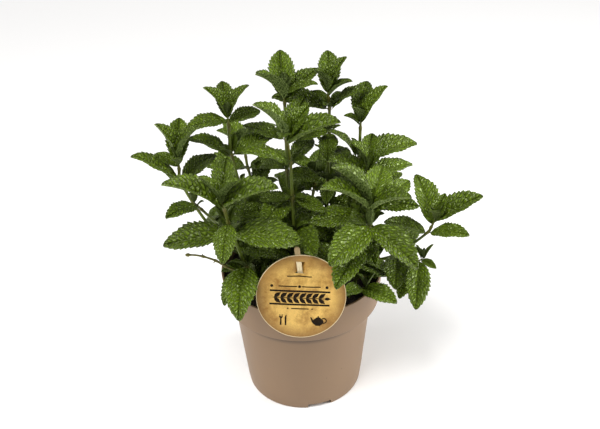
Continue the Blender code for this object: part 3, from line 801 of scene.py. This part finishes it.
# The leaves that the solid plant has, where it has them.
for shoot, (line, nodes, points, headings) in stems.items():
    way, crown, pairs = SHOOTS[shoot]
    corners = corners_of("crown_" + shoot)
    replaced[shoot].append("crown_" + shoot)
    middle = points[-1] + headings[-1] * BUD_MIDDLE
    for number, (azimuth, rise, length) in enumerate(crown):
        base = base_at(middle, BUD_REACH, headings[-1] * (number - (len(crown) - 1) / 2) * BUD_STEP)
        found = solid_frame(corners, base, azimuth, rise, length * MM)
        if found:
            take(shoot, rolled(found), length * WITHIN, 0.75 if length > 26 else 1.0, "crown")
    for number, (at, pair) in enumerate(pairs.items(), 1):
        node = f"leaf_pair_{shoot}{number}"
        corners = corners_of(node)
        replaced[shoot].append(node)
        base = base_at(points[at + len(GROUND_HEIGHTS) - 1])
        for azimuth, rise, length in pair:
            found = solid_frame(corners, base, azimuth, rise, length * MM)
            if found:
                take(shoot, rolled(found), length * WITHIN, 0.5 - 0.2 * number, "pair")

# The pairs low on each stem, and the small leaves in the angle between each leaf and its stem.
for shoot, (line, nodes, points, headings) in stems.items():
    pairs = SHOOTS[shoot][2]
    azimuth = rng.uniform(0, 180)
    tops = [nearest_on(line, points[at + len(GROUND_HEIGHTS) - 1]) for at in pairs]
    if pairs:
        azimuth = pairs[min(pairs)][0][0]
    for node in nodes:
        upper = bool(tops) and node >= min(tops)
        if node not in tops:
            azimuth += 0 if upper else 90
            for side in (0, 180):
                length = (rng.uniform(24, 30) if upper else rng.uniform(34, 46)) * MM
                aimed = azimuth + side + (60 if upper else 0) + rng.uniform(-15, 15)
                rise = rng.uniform(-20, 0) if upper else rng.uniform(-8, 22)
                for share in (1, 0.75, 0.55):
                    new = free_frame(base_at(line[node]), aimed, rise, length * share)
                    if new:
                        take(shoot, new, length * share, rng.uniform(0, 0.3), "pair")
                        break
        for side in range(4 if upper else 6):
            length = (rng.uniform(9, 17) if upper else rng.uniform(11, 24)) * MM
            aimed = azimuth + (90 if upper else 60) * side + 45 + rng.uniform(-20, 20)
            base = base_at(line[node], NODE_REACH, AXIL_HEIGHT)
            new = free_frame(base, aimed, rng.uniform(15, 65), length)
            if new:
                take(shoot, new, length, rng.uniform(0.5, 1), "small")
# The newest leaves stand folded round the tip of each stem.
for shoot, (line, nodes, points, headings) in stems.items():
    tip = points[-1] + headings[-1] * (TIP_LENGTH - 1 * MM)
    first = rng.uniform(0, 360)
    for ring, (rise, length) in enumerate(((66, 14), (80, 9))):
        for azimuth in (first + 90 * ring, first + 90 * ring + 180):
            base = tip + heading(azimuth, 0) * (0.7 - 0.3 * ring) * MM
            take(shoot, leaf_frame(base, azimuth, rise), length * MM, 1.3, "bud")


def half_width(share):
    """The outline of a mint leaf: broadest below its middle, with a rounded base and a blunt tip."""
    return math.sin(math.pi * min(1, max(0, share)) ** 0.93) ** 0.64 / 2


TEETH, TOOTH_DEPTH = 12, 0.17
SIDE_VEINS, CELLS = 9, 3
PUCKER_HEIGHT, MIDRIB_DEPTH = 0.032, 0.014


def leaf_blade(name, stations, columns, teeth):
    """A leaf one unit long and one wide, closed round its edge, with its puckers, veins and teeth.

    side says how far out a point lies, and underside marks the faces below."""
    shares = [-0.035] + [i / stations for i in range(stations + 1)]
    sides = [2 * j / columns - 1 for j in range(columns + 1)]
    grid = {}
    vertices, out_to = [], []
    for layer in (1, -1):
        for i, share in enumerate(shares):
            for j, side in enumerate(sides):
                edge = abs(side) == 1 or i in (0, len(shares) - 1)
                if edge and layer < 0:
                    grid[layer, i, j] = grid[1, i, j]
                    continue
                half = max(half_width(share), 0.028 * (1 - share))
                tooth = (share * teeth) % 1 if teeth and 0.06 < share < 0.985 else 0.5
                near_edge = abs(side) ** 8
                y = side * half * (1 + TOOTH_DEPTH * (tooth - 0.5) * near_edge)
                x = share + 0.012 * (tooth - 0.5) * near_edge
                # Counts the side veins, which leave the midrib slanting and curve on towards the tip.
                phase = SIDE_VEINS * (share - 0.2 * abs(side) - 0.08 * side**2)
                between = abs(math.sin(math.pi * phase)) ** 0.7
                cell = abs(math.sin(math.pi * (abs(side) * CELLS + 0.5 * (math.floor(phase) % 2)))) ** 0.7
                fade = (1 - near_edge) * min(1, abs(side) * 5) * min(1, max(0, 12 * share))
                lift = PUCKER_HEIGHT * between * (0.35 + 0.65 * cell) * fade
                midrib = math.exp(-((side / 0.1) ** 2))
                groove = -MIDRIB_DEPTH * midrib * min(1, max(0, 8 * share))
                thick = 0.0045 * (1 - abs(side) ** 6) + 0.006 * midrib * (layer < 0)
                grid[layer, i, j] = len(vertices)
                vertices.append((x, y, lift + groove + layer * (0 if edge else thick)))
                out_to.append(side)
    faces, below = [], []
    for layer in (1, -1):
        for i in range(len(shares) - 1):
            for j in range(columns):
                ring = [grid[layer, a, b] for a, b in ((i, j), (i + 1, j), (i + 1, j + 1), (i, j + 1))]
                faces.append(ring if layer > 0 else ring[::-1])
                below.append(float(layer < 0))
    blade = new_piece(name, vertices, faces)
    mesh = blade.data
    keep_on(mesh, "local", np.ravel(vertices), "FLOAT_VECTOR")
    keep_on(mesh, "side", out_to)
    keep_on(mesh, "underside", below, domain="FACE")
    flat = [c for loop in mesh.loops for c in vertices[loop.vertex_index][:2]]
    keep_on(mesh, "leaf_uv", flat, "FLOAT2", "CORNER")
    rim = {grid[1, i, j] for i in range(len(shares)) for j in (0, columns)}
    keep_on(mesh, "sharp_edge", [set(edge.vertices) <= rim for edge in mesh.edges], "BOOLEAN", "EDGE")
    return blade


def grow_leaves(name, grown, tree, values):
    """The leaves of a shoot as one piece, from one point for each leaf with that leaf's own numbers."""
    piece = new_piece(name, [leaf.translation for leaf, *_ in grown], ())
    labels = ("length", "width", "arch", "fold", "twist", "droop", "tone", "youth")
    columns = {label: [] for label in labels}
    for leaf, length, age, kind in grown:
        young = kind in ("small", "bud")
        columns["length"].append(length)
        columns["width"].append(LEAF_WIDTH * rng.uniform(0.92, 1.08) * (0.85 if kind == "bud" else 1))
        columns["arch"].append(LEAF_ARCH * rng.uniform(0.6, 1.25) * (0.3 if kind == "bud" else 1))
        steep = kind == "crown" and leaf.col[0].z > 0.45
        columns["fold"].append(rng.uniform(0.5, 0.8) if young or steep else rng.uniform(0.2, 0.42))
        columns["twist"].append(rng.uniform(-0.3, 0.3))
        columns["droop"].append(rng.uniform(-0.02, 0.05))
        columns["tone"].append(rng.uniform(-1, 1))
        columns["youth"].append(age)
    for label, numbers in columns.items():
        keep_on(piece.data, label, numbers)
    keep_on(piece.data, "facing", [c for leaf, *_ in grown for c in leaf.to_quaternion()], "QUATERNION")
    keep_on(piece.data, "base", [c for leaf, *_ in grown for c in leaf.translation], "FLOAT_VECTOR")
    keep_on(piece.data, "small", [length < LARGEST_SMALL for _, length, *_ in grown], "BOOLEAN")
    mesh = grown_with(piece, tree, values)
    for label in [label for labels in blade_numbers.values() for label in labels if label != "tone"]:
        mesh.attributes.remove(mesh.attributes[label])
    return piece


large_blade = leaf_blade("large_blade", 64, 18, TEETH)
small_blade = leaf_blade("small_blade", 26, 8, 0)
blade_numbers = {
    "FLOAT": ("side", "length", "width", "arch", "fold", "twist", "droop", "tone"),
    "FLOAT_VECTOR": ("local", "base"),
    "QUATERNION": ("facing",),
    "BOOLEAN": ("small",),
}
# Sets a blade on each point and bends it to that leaf's own length, arch, fold, twist and wave.
shoot_leaves = new_tree(
    "leaves on a shoot",
    {"Large blade": "Object", "Small blade": "Object", "Wave": "Float", "Finish": "Material"},
    *((label, "attribute", kind, label) for kind, labels in blade_numbers.items() for label in labels),
    ("grown", "FunctionNodeBooleanMath", {"operation": "NOT", 0: "small"}),
    ("large", "GeometryNodeObjectInfo", {"Object": "Large blade"}),
    ("large", "set on points", "Geometry", "grown", "large:Geometry"),
    ("little", "GeometryNodeObjectInfo", {"Object": "Small blade"}),
    ("little", "set on points", "Geometry", "small", "little:Geometry"),
    ("blades", "GeometryNodeJoinGeometry", {"Geometry": ["large", "little"]}),
    ("blades", "GeometryNodeRealizeInstances", {"Geometry": "blades"}),
    # On the blade itself X runs from 0 at the base to 1 at the tip, and Z is the lift of its puckers.
    ("blade", "parts", "local"),
    ("width now", "MULTIPLY", "width", "length"),
    ("y", "MULTIPLY", "blade:Y", "width now"),
    ("rest", "SUBTRACT", 1.0, "blade:X"),
    ("curve", "MULTIPLY", "blade:X", "rest"),
    ("curve", "MULTIPLY", "curve", 4.0),
    ("arched", "MULTIPLY", "curve", "arch"),
    ("forward", "MAXIMUM", "blade:X", 0.0),
    ("cube", "POWER", "forward", 3.0),
    ("hang", "MULTIPLY", "cube", "droop"),
    ("height", "SUBTRACT", "arched", "hang"),
    ("own phase", "MULTIPLY", "tone", 9.0),
    ("phase", "MULTIPLY_ADD", "blade:X", 17.0, "own phase"),
    ("ripple", "SINE", "phase"),
    ("outward", "ABSOLUTE", "side"),
    ("outward", "POWER", "outward", 3.0),
    ("ripple", "MULTIPLY", "ripple", "outward"),
    ("height", "MULTIPLY_ADD", "ripple", "Wave", "height"),
    ("height", "ADD", "height", "blade:Z"),
    ("off midrib", "ABSOLUTE", "y"),
    ("folded", "MULTIPLY", "off midrib", "fold"),
    ("z", "MULTIPLY_ADD", "height", "length", "folded"),
    ("x", "MULTIPLY", "blade:X", "length"),
    ("angle", "MULTIPLY", "blade:X", "twist"),
    ("spot", "joined parts", "x", "y", "z"),
    ("spun", "ShaderNodeVectorRotate", {"rotation_type": "X_AXIS", "Vector": "spot", "Angle": "angle"}),
    ("faced", "FunctionNodeRotateVector", {"Vector": "spun", "Rotation": "facing"}),
    ("placed", "ShaderNodeVectorMath", {"operation": "ADD", 0: "faced", 1: "base"}),
    ("bent", "GeometryNodeSetPosition", {"Geometry": "blades", "Position": "placed"}),
)
# A living leaf: wax over green tissue, puckered between sunken veins, and matter and paler below.
# The puckers catch the light as a net of small pale glints over deep yellow-green. Part of that is
# painted highlight and shade: the colour is lighter on each pucker's dome and darker between them.
leaf_skin = new_material(
    "mint leaf skin",
    ("uv", "ShaderNodeUVMap", {"uv_map": "leaf_uv"}),
    # X is the share of the leaf's length, and Y is across it.
    ("leaf", "parts", "uv"),
    *((name, "number kept in", name) for name in ("tone", "youth", "underside")),
    ("away", "ABSOLUTE", "leaf:Y"),
    ("square", "POWER", "away", 2.0),
    ("slant", "MULTIPLY", "away", 0.4),
    ("slant", "MULTIPLY_ADD", "square", 0.32, "slant"),
    ("phase", "SUBTRACT", "leaf:X", "slant"),
    ("phase", "MULTIPLY", "phase", float(SIDE_VEINS)),
    ("to vein", "PINGPONG", "phase", 0.5),
    ("side vein", "MULTIPLY_ADD", "to vein", -8.0, 1.0),
    ("side vein", "MAXIMUM", "side vein", 0.0),
    ("midrib", "MULTIPLY_ADD", "away", -45.0, 1.6),
    ("midrib", "MAXIMUM", "midrib", 0.0),
    ("midrib", "MINIMUM", "midrib", 1.0),
    ("vein", "MULTIPLY", "side vein", 0.6),
    ("vein", "MAXIMUM", "vein", "midrib"),
    ("vein tint", "MULTIPLY", "vein", 0.35),
    # The net between the side veins has meshes of about 2 mm on a grown leaf; each mesh is a pucker.
    ("along net", "MULTIPLY", "phase", 1.6),
    ("across net", "MULTIPLY", "leaf:Y", 8.0),
    ("even", "joined parts", "along net", "across net"),
    (
        "net",
        "ShaderNodeTexVoronoi",
        {
            "feature": "DISTANCE_TO_EDGE",
            "voronoi_dimensions": "2D",
            "Vector": "even",
            "Scale": 1.0,
            "Randomness": 0.8,
        },
    ),
    ("dome", "soft range", "net", 0.0, 0.34),
    # Painted highlight and shade: each pucker's dome is coloured lighter and the creases between darker;
    # tone is the leaf's own.
    ("shade", "MULTIPLY_ADD", "tone", 0.16, 0.5),
    ("shade", "MULTIPLY_ADD", "dome", 0.56, "shade"),
    ("height", "MULTIPLY_ADD", "to vein", 0.8, "dome"),
    ("height", "MULTIPLY_ADD", "midrib", -0.5, "height"),
    ("rough", "MULTIPLY_ADD", "dome", -0.08, 0.36),
    ("rough", "MULTIPLY_ADD", "underside", 0.28, "rough"),
    ("under net", "MULTIPLY_ADD", "dome", -0.45, 0.45),
    ("under net", "MAXIMUM", "vein", "under net"),
    ("blotch", "noise", "even", 0.35, 3.0),
    ("grown", "mix", "blotch", "#465A04", "#6A8210"),
    ("young", "mix", "blotch", "#536B0A", "#79931F"),
    ("top", "mix", "youth", "grown", "young"),
    ("top", "mix", "vein tint", "top", "#93A74C"),
    ("under", "mix", "under net", "#4F6420", "#9AAC60"),
    ("shaded", "scaled", "top", "shade"),
    ("skin", "mix", "underside", "shaded", "under"),
    ("relief", "bump", "height", 1.0, 0.0009),
    Base_Color="skin", Roughness="rough", IOR=1.45, Specular_IOR_Level=0.75,
    Specular_Tint="#F8FFD8", Normal="relief",
)
leaf_values = {"Large blade": large_blade, "Small blade": small_blade, "Wave": 0.012, "Finish": leaf_skin}
for shoot, grown in leaves.items():
    piece = grow_leaves("mint_leaves_" + shoot, grown, shoot_leaves, leaf_values)
    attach(piece, "root")
    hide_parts(*replaced[shoot])
for blade in (large_blade, small_blade):
    bpy.data.objects.remove(blade)

# Label stick -------------------------------------------------------------------------------------
# A flat stick of pale birch, stamped out with a round top and a blunt point. It is pushed into the
# peat and holds the card.

STICK_WIDTH = 4 * MM
STICK_THICKNESS = 1.2 * MM
STICK_LENGTH = 78 * MM
STICK_LEAN, STICK_TURN = 4, -5


def leaning(lean, turn):
    """Turns a piece that stands facing the front: lean tips its top back, turn rolls it clockwise."""
    return Matrix.Rotation(math.radians(-lean), 4, "X") @ Matrix.Rotation(math.radians(turn), 4, "Y")


def middle_of(node):
    low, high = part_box(node)
    return (Vector(low) + Vector(high)) / 2


def set_in_place(piece, place):
    """Moves the mesh itself, and keeps each point's own place on the piece as the attribute local."""
    mesh = piece.data
    flat = [c for v in mesh.vertices for c in v.co]
    keep_on(mesh, "local", flat, "FLOAT_VECTOR")
    mesh.transform(place)


half, end = STICK_WIDTH / 2, STICK_LENGTH / 2
outline = [(-half, 6 * MM - end), (-0.8 * MM, -end), (0.8 * MM, -end), (half, 6 * MM - end)]
angles = [math.pi * i / 12 for i in range(13)]
outline += [(half * math.cos(a), end - half + half * math.sin(a)) for a in angles]
count = len(outline)
corners = [(x, y, z) for y in (-STICK_THICKNESS / 2, STICK_THICKNESS / 2) for x, z in outline]
faces = [tuple(range(count)), tuple(range(2 * count - 1, count - 1, -1))]
faces += [(i, i + count, (i + 1) % count + count, (i + 1) % count) for i in range(count)]
# Raw birch: cream, with fine straight grain and darker pores, and painted shade darkening its top end.
birch = new_material(
    "raw birch",
    ("place", "place kept in", "local"),
    ("drawn", "stretched", "place", (1, 1, 0.04)),
    ("grain", "noise", "drawn", 2400.0, 4.0),
    ("broad", "noise", "place", 120.0, 2.0),
    ("pale", "mix", "broad", "#E6D3A2", "#F7EBCB"),
    ("pore", "range", "grain", 0.5, 0.75),
    ("colour", "mix", "pore", "pale", "#AE9257"),
    ("up", "parts", "place"),
    # Painted shade: the colour darkens over the top 9 mm of the stick.
    ("stained", "range", "up:Z", STICK_LENGTH / 2 - 9 * MM, STICK_LENGTH / 2 - 6 * MM, 0.0, 0.75),
    ("colour", "mix", "stained", "colour", "#A98B58"),
    ("relief", "bump", "grain", 0.3, 0.0002),
    Base_Color="colour", Roughness=0.62, Specular_IOR_Level=0.4, Normal="relief",
)
stick = new_piece("label_stick_of_birch", corners, faces, birch)
edges = stick.modifiers.new("sanded edges", "BEVEL")
edges.width = 0.15 * MM
edges.segments = 2
edges.limit_method = "ANGLE"
mesh = made_plain(stick)
mesh.set_sharp_from_angle(angle=math.radians(50))
set_in_place(stick, Matrix.Translation(middle_of("label_stick")) @ leaning(STICK_LEAN, STICK_TURN))
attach(stick, "root")
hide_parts("label_stick")

# Label card --------------------------------------------------------------------------------------
# A round card of varnished kraft board with a raw cream edge, die-cut. Two slits leave a strap across
# its upper half, which bows back round the stick, and the card has dented and curled with damp.

card_low, card_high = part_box("label_card")
CARD_RADIUS = (card_high[0] - card_low[0]) / 2
CARD_LEAN, CARD_TURN = 13, 4.2
CARD_HALF_THICKNESS = 0.3 * MM
SLIT_MIDDLE = (-1.8 * MM, 23 * MM)
STICK_DENT = 1.6 * MM
STRAP_HEIGHT = 9.2 * MM
STRAP_BOW = 2.7 * MM
CARD_COLUMNS = 72


def card_depth(x, z, strap):
    """How far back a point of the card lies: its curl, its dents and, at the slits, its bow."""
    curl = 0.9 * MM * (math.hypot(x, z) / CARD_RADIUS) ** 3
    dent = 0.9 * MM * math.exp(-(((x - 13 * MM) / (4 * MM)) ** 2) - ((z - 15 * MM) / (9 * MM)) ** 2)
    wave = 0.25 * MM * noise.noise(Vector((x, 0, z)) * 70)
    from_stick = abs(x - SLIT_MIDDLE[0])
    t = min(1, max(0, 1 - from_stick / (8 * MM)))
    pulled = STICK_DENT * t * t * (3 - 2 * t)
    t = min(1, max(0, (3.9 * MM - from_stick) / (1.5 * MM)))
    bowed = STRAP_BOW * t * t * (3 - 2 * t)
    if strap:
        return curl + dent + wave + pulled + bowed
    from_slit = max(0, abs(z - SLIT_MIDDLE[1]) - STRAP_HEIGHT / 2)
    depth = curl + dent + wave + pulled * math.exp(-from_slit / (5 * MM))
    if z > SLIT_MIDDLE[1]:
        # Above the strap the card rests against the front of the stick, which leans back less.
        rest = 1.25 * MM - from_slit * math.tan(math.radians(CARD_LEAN - STICK_LEAN))
        t = min(1, max(0, 2 - from_stick / (5 * MM)))
        depth += (min(depth, rest) - depth) * t * t * (3 - 2 * t)
    return depth


def level_rows(low, high, count):
    """Heights between two angles of the card's outline, evenly spaced along it."""
    first, last = math.asin(max(-1, low / CARD_RADIUS)), math.asin(min(1, high / CARD_RADIUS))
    return [CARD_RADIUS * math.sin(first + (last - first) * i / count) for i in range(count + 1)]


slit_heights = [SLIT_MIDDLE[1] - STRAP_HEIGHT / 2, SLIT_MIDDLE[1] + STRAP_HEIGHT / 2]
corners, faces = [], []
for low, high, rows, strap in (
    (-CARD_RADIUS, slit_heights[0], 52, False),
    (slit_heights[0], slit_heights[1], 10, True),
    (slit_heights[1], CARD_RADIUS, 16, False),
):
    first = len(corners)
    for z in level_rows(low, high, rows):
        reach = math.sqrt(max(0, CARD_RADIUS**2 - z * z))
        for j in range(CARD_COLUMNS + 1):
            x = reach * (2 * j / CARD_COLUMNS - 1)
            corners.append((x, card_depth(x, z, strap), z))
    for i in range(rows):
        for j in range(CARD_COLUMNS):
            k = first + i * (CARD_COLUMNS + 1) + j
            faces.append((k, k + 1, k + CARD_COLUMNS + 2, k + CARD_COLUMNS + 1))
# Kraft board under a thin varnish: golden tan, clouded by its fibres, and browned round the edge.
kraft = new_material(
    "varnished kraft board",
    ("place", "place kept in", "local"),
    ("cloud", "noise", "place", 62.0, 5.0, 0.66),
    ("fibre", "noise", "place", 1100.0, 4.0),
    ("clear", "range", "cloud", 0.36, 0.58),
    ("board", "mix", "clear", "#946822", "#DBB25C"),
    # Brown builds up over the last 6 mm before the edge, unevenly.
    ("out", "ShaderNodeVectorMath", {"operation": "LENGTH", 0: "place"}),
    ("uneven", "MULTIPLY_ADD", "cloud", 0.012, "out"),
    ("aged", "range", "uneven", CARD_RADIUS - 4 * MM, CARD_RADIUS + 6.5 * MM, 0.0, 0.9),
    ("board", "mix", "aged", "board", "#7C5319"),
    ("fleck", "range", "fibre", 0.3, 0.7, 0.86, 1.08),
    ("colour", "scaled", "board", "fleck"),
    # The die has rubbed the varnish off the last 0.5 mm, where the pale board shows.
    ("rubbed", "range", "out", CARD_RADIUS - 0.55 * MM, CARD_RADIUS - 0.3 * MM, 0.0, 0.7),
    ("colour", "mix", "rubbed", "colour", "#EFDDB0"),
    ("relief", "bump", "fibre", 0.25, 0.0002),
    Base_Color="colour", Roughness=0.46, Specular_IOR_Level=0.45, Normal="relief",
)
# The board's raw cut edge, where its cream core shows.
cut_edge = new_material(
    "cut edge of board",
    ("place", "place kept in", "local"),
    ("ply", "noise", "place", 900.0, 2.0),
    ("colour", "mix", "ply", "#E5D3A4", "#F6EACB"),
    Base_Color="colour", Roughness=0.8,
)
card = new_piece("label_card_of_kraft", corners, faces, kraft, cut_edge)
joining = bmesh.new()
joining.from_mesh(card.data)
bmesh.ops.remove_doubles(joining, verts=joining.verts, dist=0.000005)
joining.to_mesh(card.data)
joining.free()
board = card.modifiers.new("board", "SOLIDIFY")
board.thickness = 2 * CARD_HALF_THICKNESS
board.offset = 0
board.material_offset_rim = 1
mesh = made_plain(card)
mesh.set_sharp_from_angle(angle=math.radians(50))
card_place = middle_of("label_card")
card_place.y = card_low[1] + CARD_RADIUS * math.sin(math.radians(CARD_LEAN)) + CARD_HALF_THICKNESS
card_frame = Matrix.Translation(card_place) @ leaning(CARD_LEAN, CARD_TURN)
set_in_place(card, card_frame)
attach(card, "root")
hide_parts("label_card")

# Print on the card -------------------------------------------------------------------------------
# One colour of ink on the front: two bars with a sprig between them, thin rules and dots, and small
# pictures that say the herb is for food and for tea.

INK_HEIGHT = 0.05 * MM
BAR_FROM, BAR_TO = -23.3, 21.3
TEXT_Z, PICTURE_Z = 8.4, -9.3


def bar(x_from, x_to, z, height):
    """A level bar, in short lengths so that it follows the card. The print is drawn in millimetres."""
    steps = max(1, round((x_to - x_from) / 1.5))
    marks = [x_from + (x_to - x_from) * i / steps for i in range(steps + 1)]
    low, high = z - height / 2, z + height / 2
    return [[(a, low), (b, low), (b, high), (a, high)] for a, b in zip(marks, marks[1:])]


def rounded(x, z, wide, high, sides=20):
    turns = [math.tau * i / sides for i in range(sides)]
    return [(x + wide / 2 * math.cos(a), z + high / 2 * math.sin(a)) for a in turns]


def leaflet(x, z, length, angle):
    """A small pointed leaf that starts at a place and points at an angle."""
    way = Vector((math.cos(math.radians(angle)), math.sin(math.radians(angle))))
    aside = Vector((-way.y, way.x))
    line = [(0, 0), (0.25, 0.2), (0.55, 0.24), (1, 0), (0.55, -0.24), (0.25, -0.2)]
    return [tuple(Vector((x, z)) + (way * along + aside * out) * length) for along, out in line]


def ring_arc(x, z, inner, outer, start, stop, steps=10):
    """Part of a ring, as short lengths."""
    turns = [math.radians(start + (stop - start) * i / steps) for i in range(steps + 1)]
    lengths = []
    for a, b in zip(turns, turns[1:]):
        ends = ((inner, a), (outer, a), (outer, b), (inner, b))
        lengths.append([(x + r * math.cos(turn), z + r * math.sin(turn)) for r, turn in ends])
    return lengths


shapes = []
for x_from, x_to, z, height in (
    (BAR_FROM, BAR_TO, 4.7, 1.4),
    (BAR_FROM, BAR_TO, -6, 1.4),
    (-11, 7, 16.4, 0.8),
    (-17, -3.2, TEXT_Z, 0.8),
    (0, 14, TEXT_Z, 0.8),
    (-7, 6, PICTURE_Z, 0.8),
    (-21, 17, -0.7, 0.5),
):
    shapes += bar(x_from, x_to, z, height)
shapes += [rounded(x, TEXT_Z, 2.2, 2.2) for x in (-22, 18.6, -1.6)]
shapes += [rounded(x, PICTURE_Z, 1.2, 1.2) for x in (-9.5, 8.5)]
# The sprig's leaflets stand along the last bar, in the middle of the card.
for i in range(8):
    x = -20 + 4.7 * i
    shapes += [leaflet(x, -0.35, 6.4, 38), leaflet(x, -1.05, 6.4, -38)]
shapes += [
    leaflet(17, -0.7, 5, 0),
    # Fork: handle, shoulders and three prongs.
    [(-14.9, -23.2), (-13.7, -23.2), (-13.8, -17.6), (-14.8, -17.6)],
    [(-15.7, -16.6), (-14.8, -17.6), (-13.8, -17.6), (-12.9, -16.6), (-12.9, -16.2), (-15.7, -16.2)],
    [(-15.7, -16.2), (-15.2, -16.2), (-15.3, -14.3), (-15.6, -14.3)],
    [(-14.6, -16.2), (-14, -16.2), (-14.1, -14.3), (-14.5, -14.3)],
    [(-13.4, -16.2), (-12.9, -16.2), (-13, -14.3), (-13.3, -14.3)],
    # Knife.
    [
        (-11.2, -23.2), (-10.1, -23.2), (-10.2, -18.8), (-10.2, -14.4),
        (-10.9, -14.9), (-11.5, -17), (-11.4, -18.8),
    ],
    # Teapot: body, foot, lid, spout and knob; its handle is a ring.
    rounded(13.4, -19.6, 8.2, 6.2, 28),
    [(11.3, -23), (15.5, -23), (15, -22.2), (11.8, -22.2)],
    [(11.2, -16.9), (15.6, -16.9), (14.6, -16), (12.2, -16)],
    [(10.3, -20.6), (9.9, -18.6), (8.2, -15.9), (7.4, -16), (8.3, -18.4), (9, -20.4)],
    rounded(13.4, -15.5, 1.3, 1.1),
    *ring_arc(17.6, -18.7, 1.6, 2.4, -110, 130),
]
corners, faces = [], []
for outline in shapes:
    faces.append(tuple(range(len(corners), len(corners) + len(outline))))
    flat = [(x * MM, z * MM) for x, z in outline]
    corners += [(x, card_depth(x, z, False) - CARD_HALF_THICKNESS - INK_HEIGHT, z) for x, z in flat]
# Matt black ink that has soaked a little unevenly into the board.
black_ink = new_material(
    "black printing ink",
    ("place", "place kept in", "local"),
    ("worn", "noise", "place", 500.0, 3.0),
    ("colour", "mix", "worn", "#0B0703", "#291D0F"),
    Base_Color="colour", Roughness=0.75, Specular_IOR_Level=0.1,
)
ink = new_piece("print_on_label", corners, faces, black_ink)
film = ink.modifiers.new("film", "SOLIDIFY")
film.thickness = INK_HEIGHT
film.offset = 0
made_plain(ink)
set_in_place(ink, card_frame)
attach(ink, "root")
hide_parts("label_card")

# Floor, light and camera -------------------------------------------------------------------------
# A pale floor under soft light from all round, with a wide light high in front and to the left and a
# soft lamp on either side. The camera looks down on the front of the plant.

FLOOR_HALF = 6
paint = new_material("white painted floor", Base_Color="#FCFBFA", Roughness=0.85)
corners = [(x * FLOOR_HALF, y * FLOOR_HALF, 0) for x, y in ((-1, -1), (1, -1), (1, 1), (-1, 1))]
floor = new_piece("floor", corners, [(0, 1, 2, 3)], paint)

world = bpy.data.worlds.new("soft light")
world.use_nodes = True
sky = world.node_tree.nodes["Background"].inputs
sky["Color"].default_value = linear("#FFFFFF")
sky["Strength"].default_value = 0.31
scene = bpy.context.scene
scene.world = world
scene.view_settings.view_transform = "Standard"


def add_light(name, kind, place, aim, power, **settings):
    """A lamp at a place that faces a point."""
    lamp = bpy.data.lights.new(name, kind)
    lamp.energy = power
    for setting, value in settings.items():
        setattr(lamp, setting, value)
    made = bpy.data.objects.new(name, lamp)
    made.location = place
    made.rotation_euler = (Vector(aim) - Vector(place)).to_track_quat("-Z", "Y").to_euler()
    scene.collection.objects.link(made)


PLANT_MIDDLE = (0, 0, 0.12)
add_light("light above", "SUN", (0, 0, 0), (0.3, 0.42, -1), 2.05, angle=math.radians(24))
add_light("lamp left", "AREA", (-0.8, -0.15, 0.5), PLANT_MIDDLE, 4.0, size=0.5)
add_light("lamp right", "AREA", (0.8, -0.1, 0.5), PLANT_MIDDLE, 7.5, size=0.5)

FOCAL_LENGTH = 49.2
CAMERA_PLACE = Vector((0, -0.5432, 0.4975))
CAMERA_PITCH = math.radians(31.85)
CAMERA_ROLL = math.radians(1.75)
camera = bpy.data.objects.new("camera", bpy.data.cameras.new("camera"))
camera.data.lens = FOCAL_LENGTH
camera.data.sensor_width = 36
look = Matrix.Rotation(math.pi / 2 - CAMERA_PITCH, 4, "X") @ Matrix.Rotation(-CAMERA_ROLL, 4, "Z")
camera.matrix_world = Matrix.Translation(CAMERA_PLACE) @ look
scene.collection.objects.link(camera)
scene.camera = camera
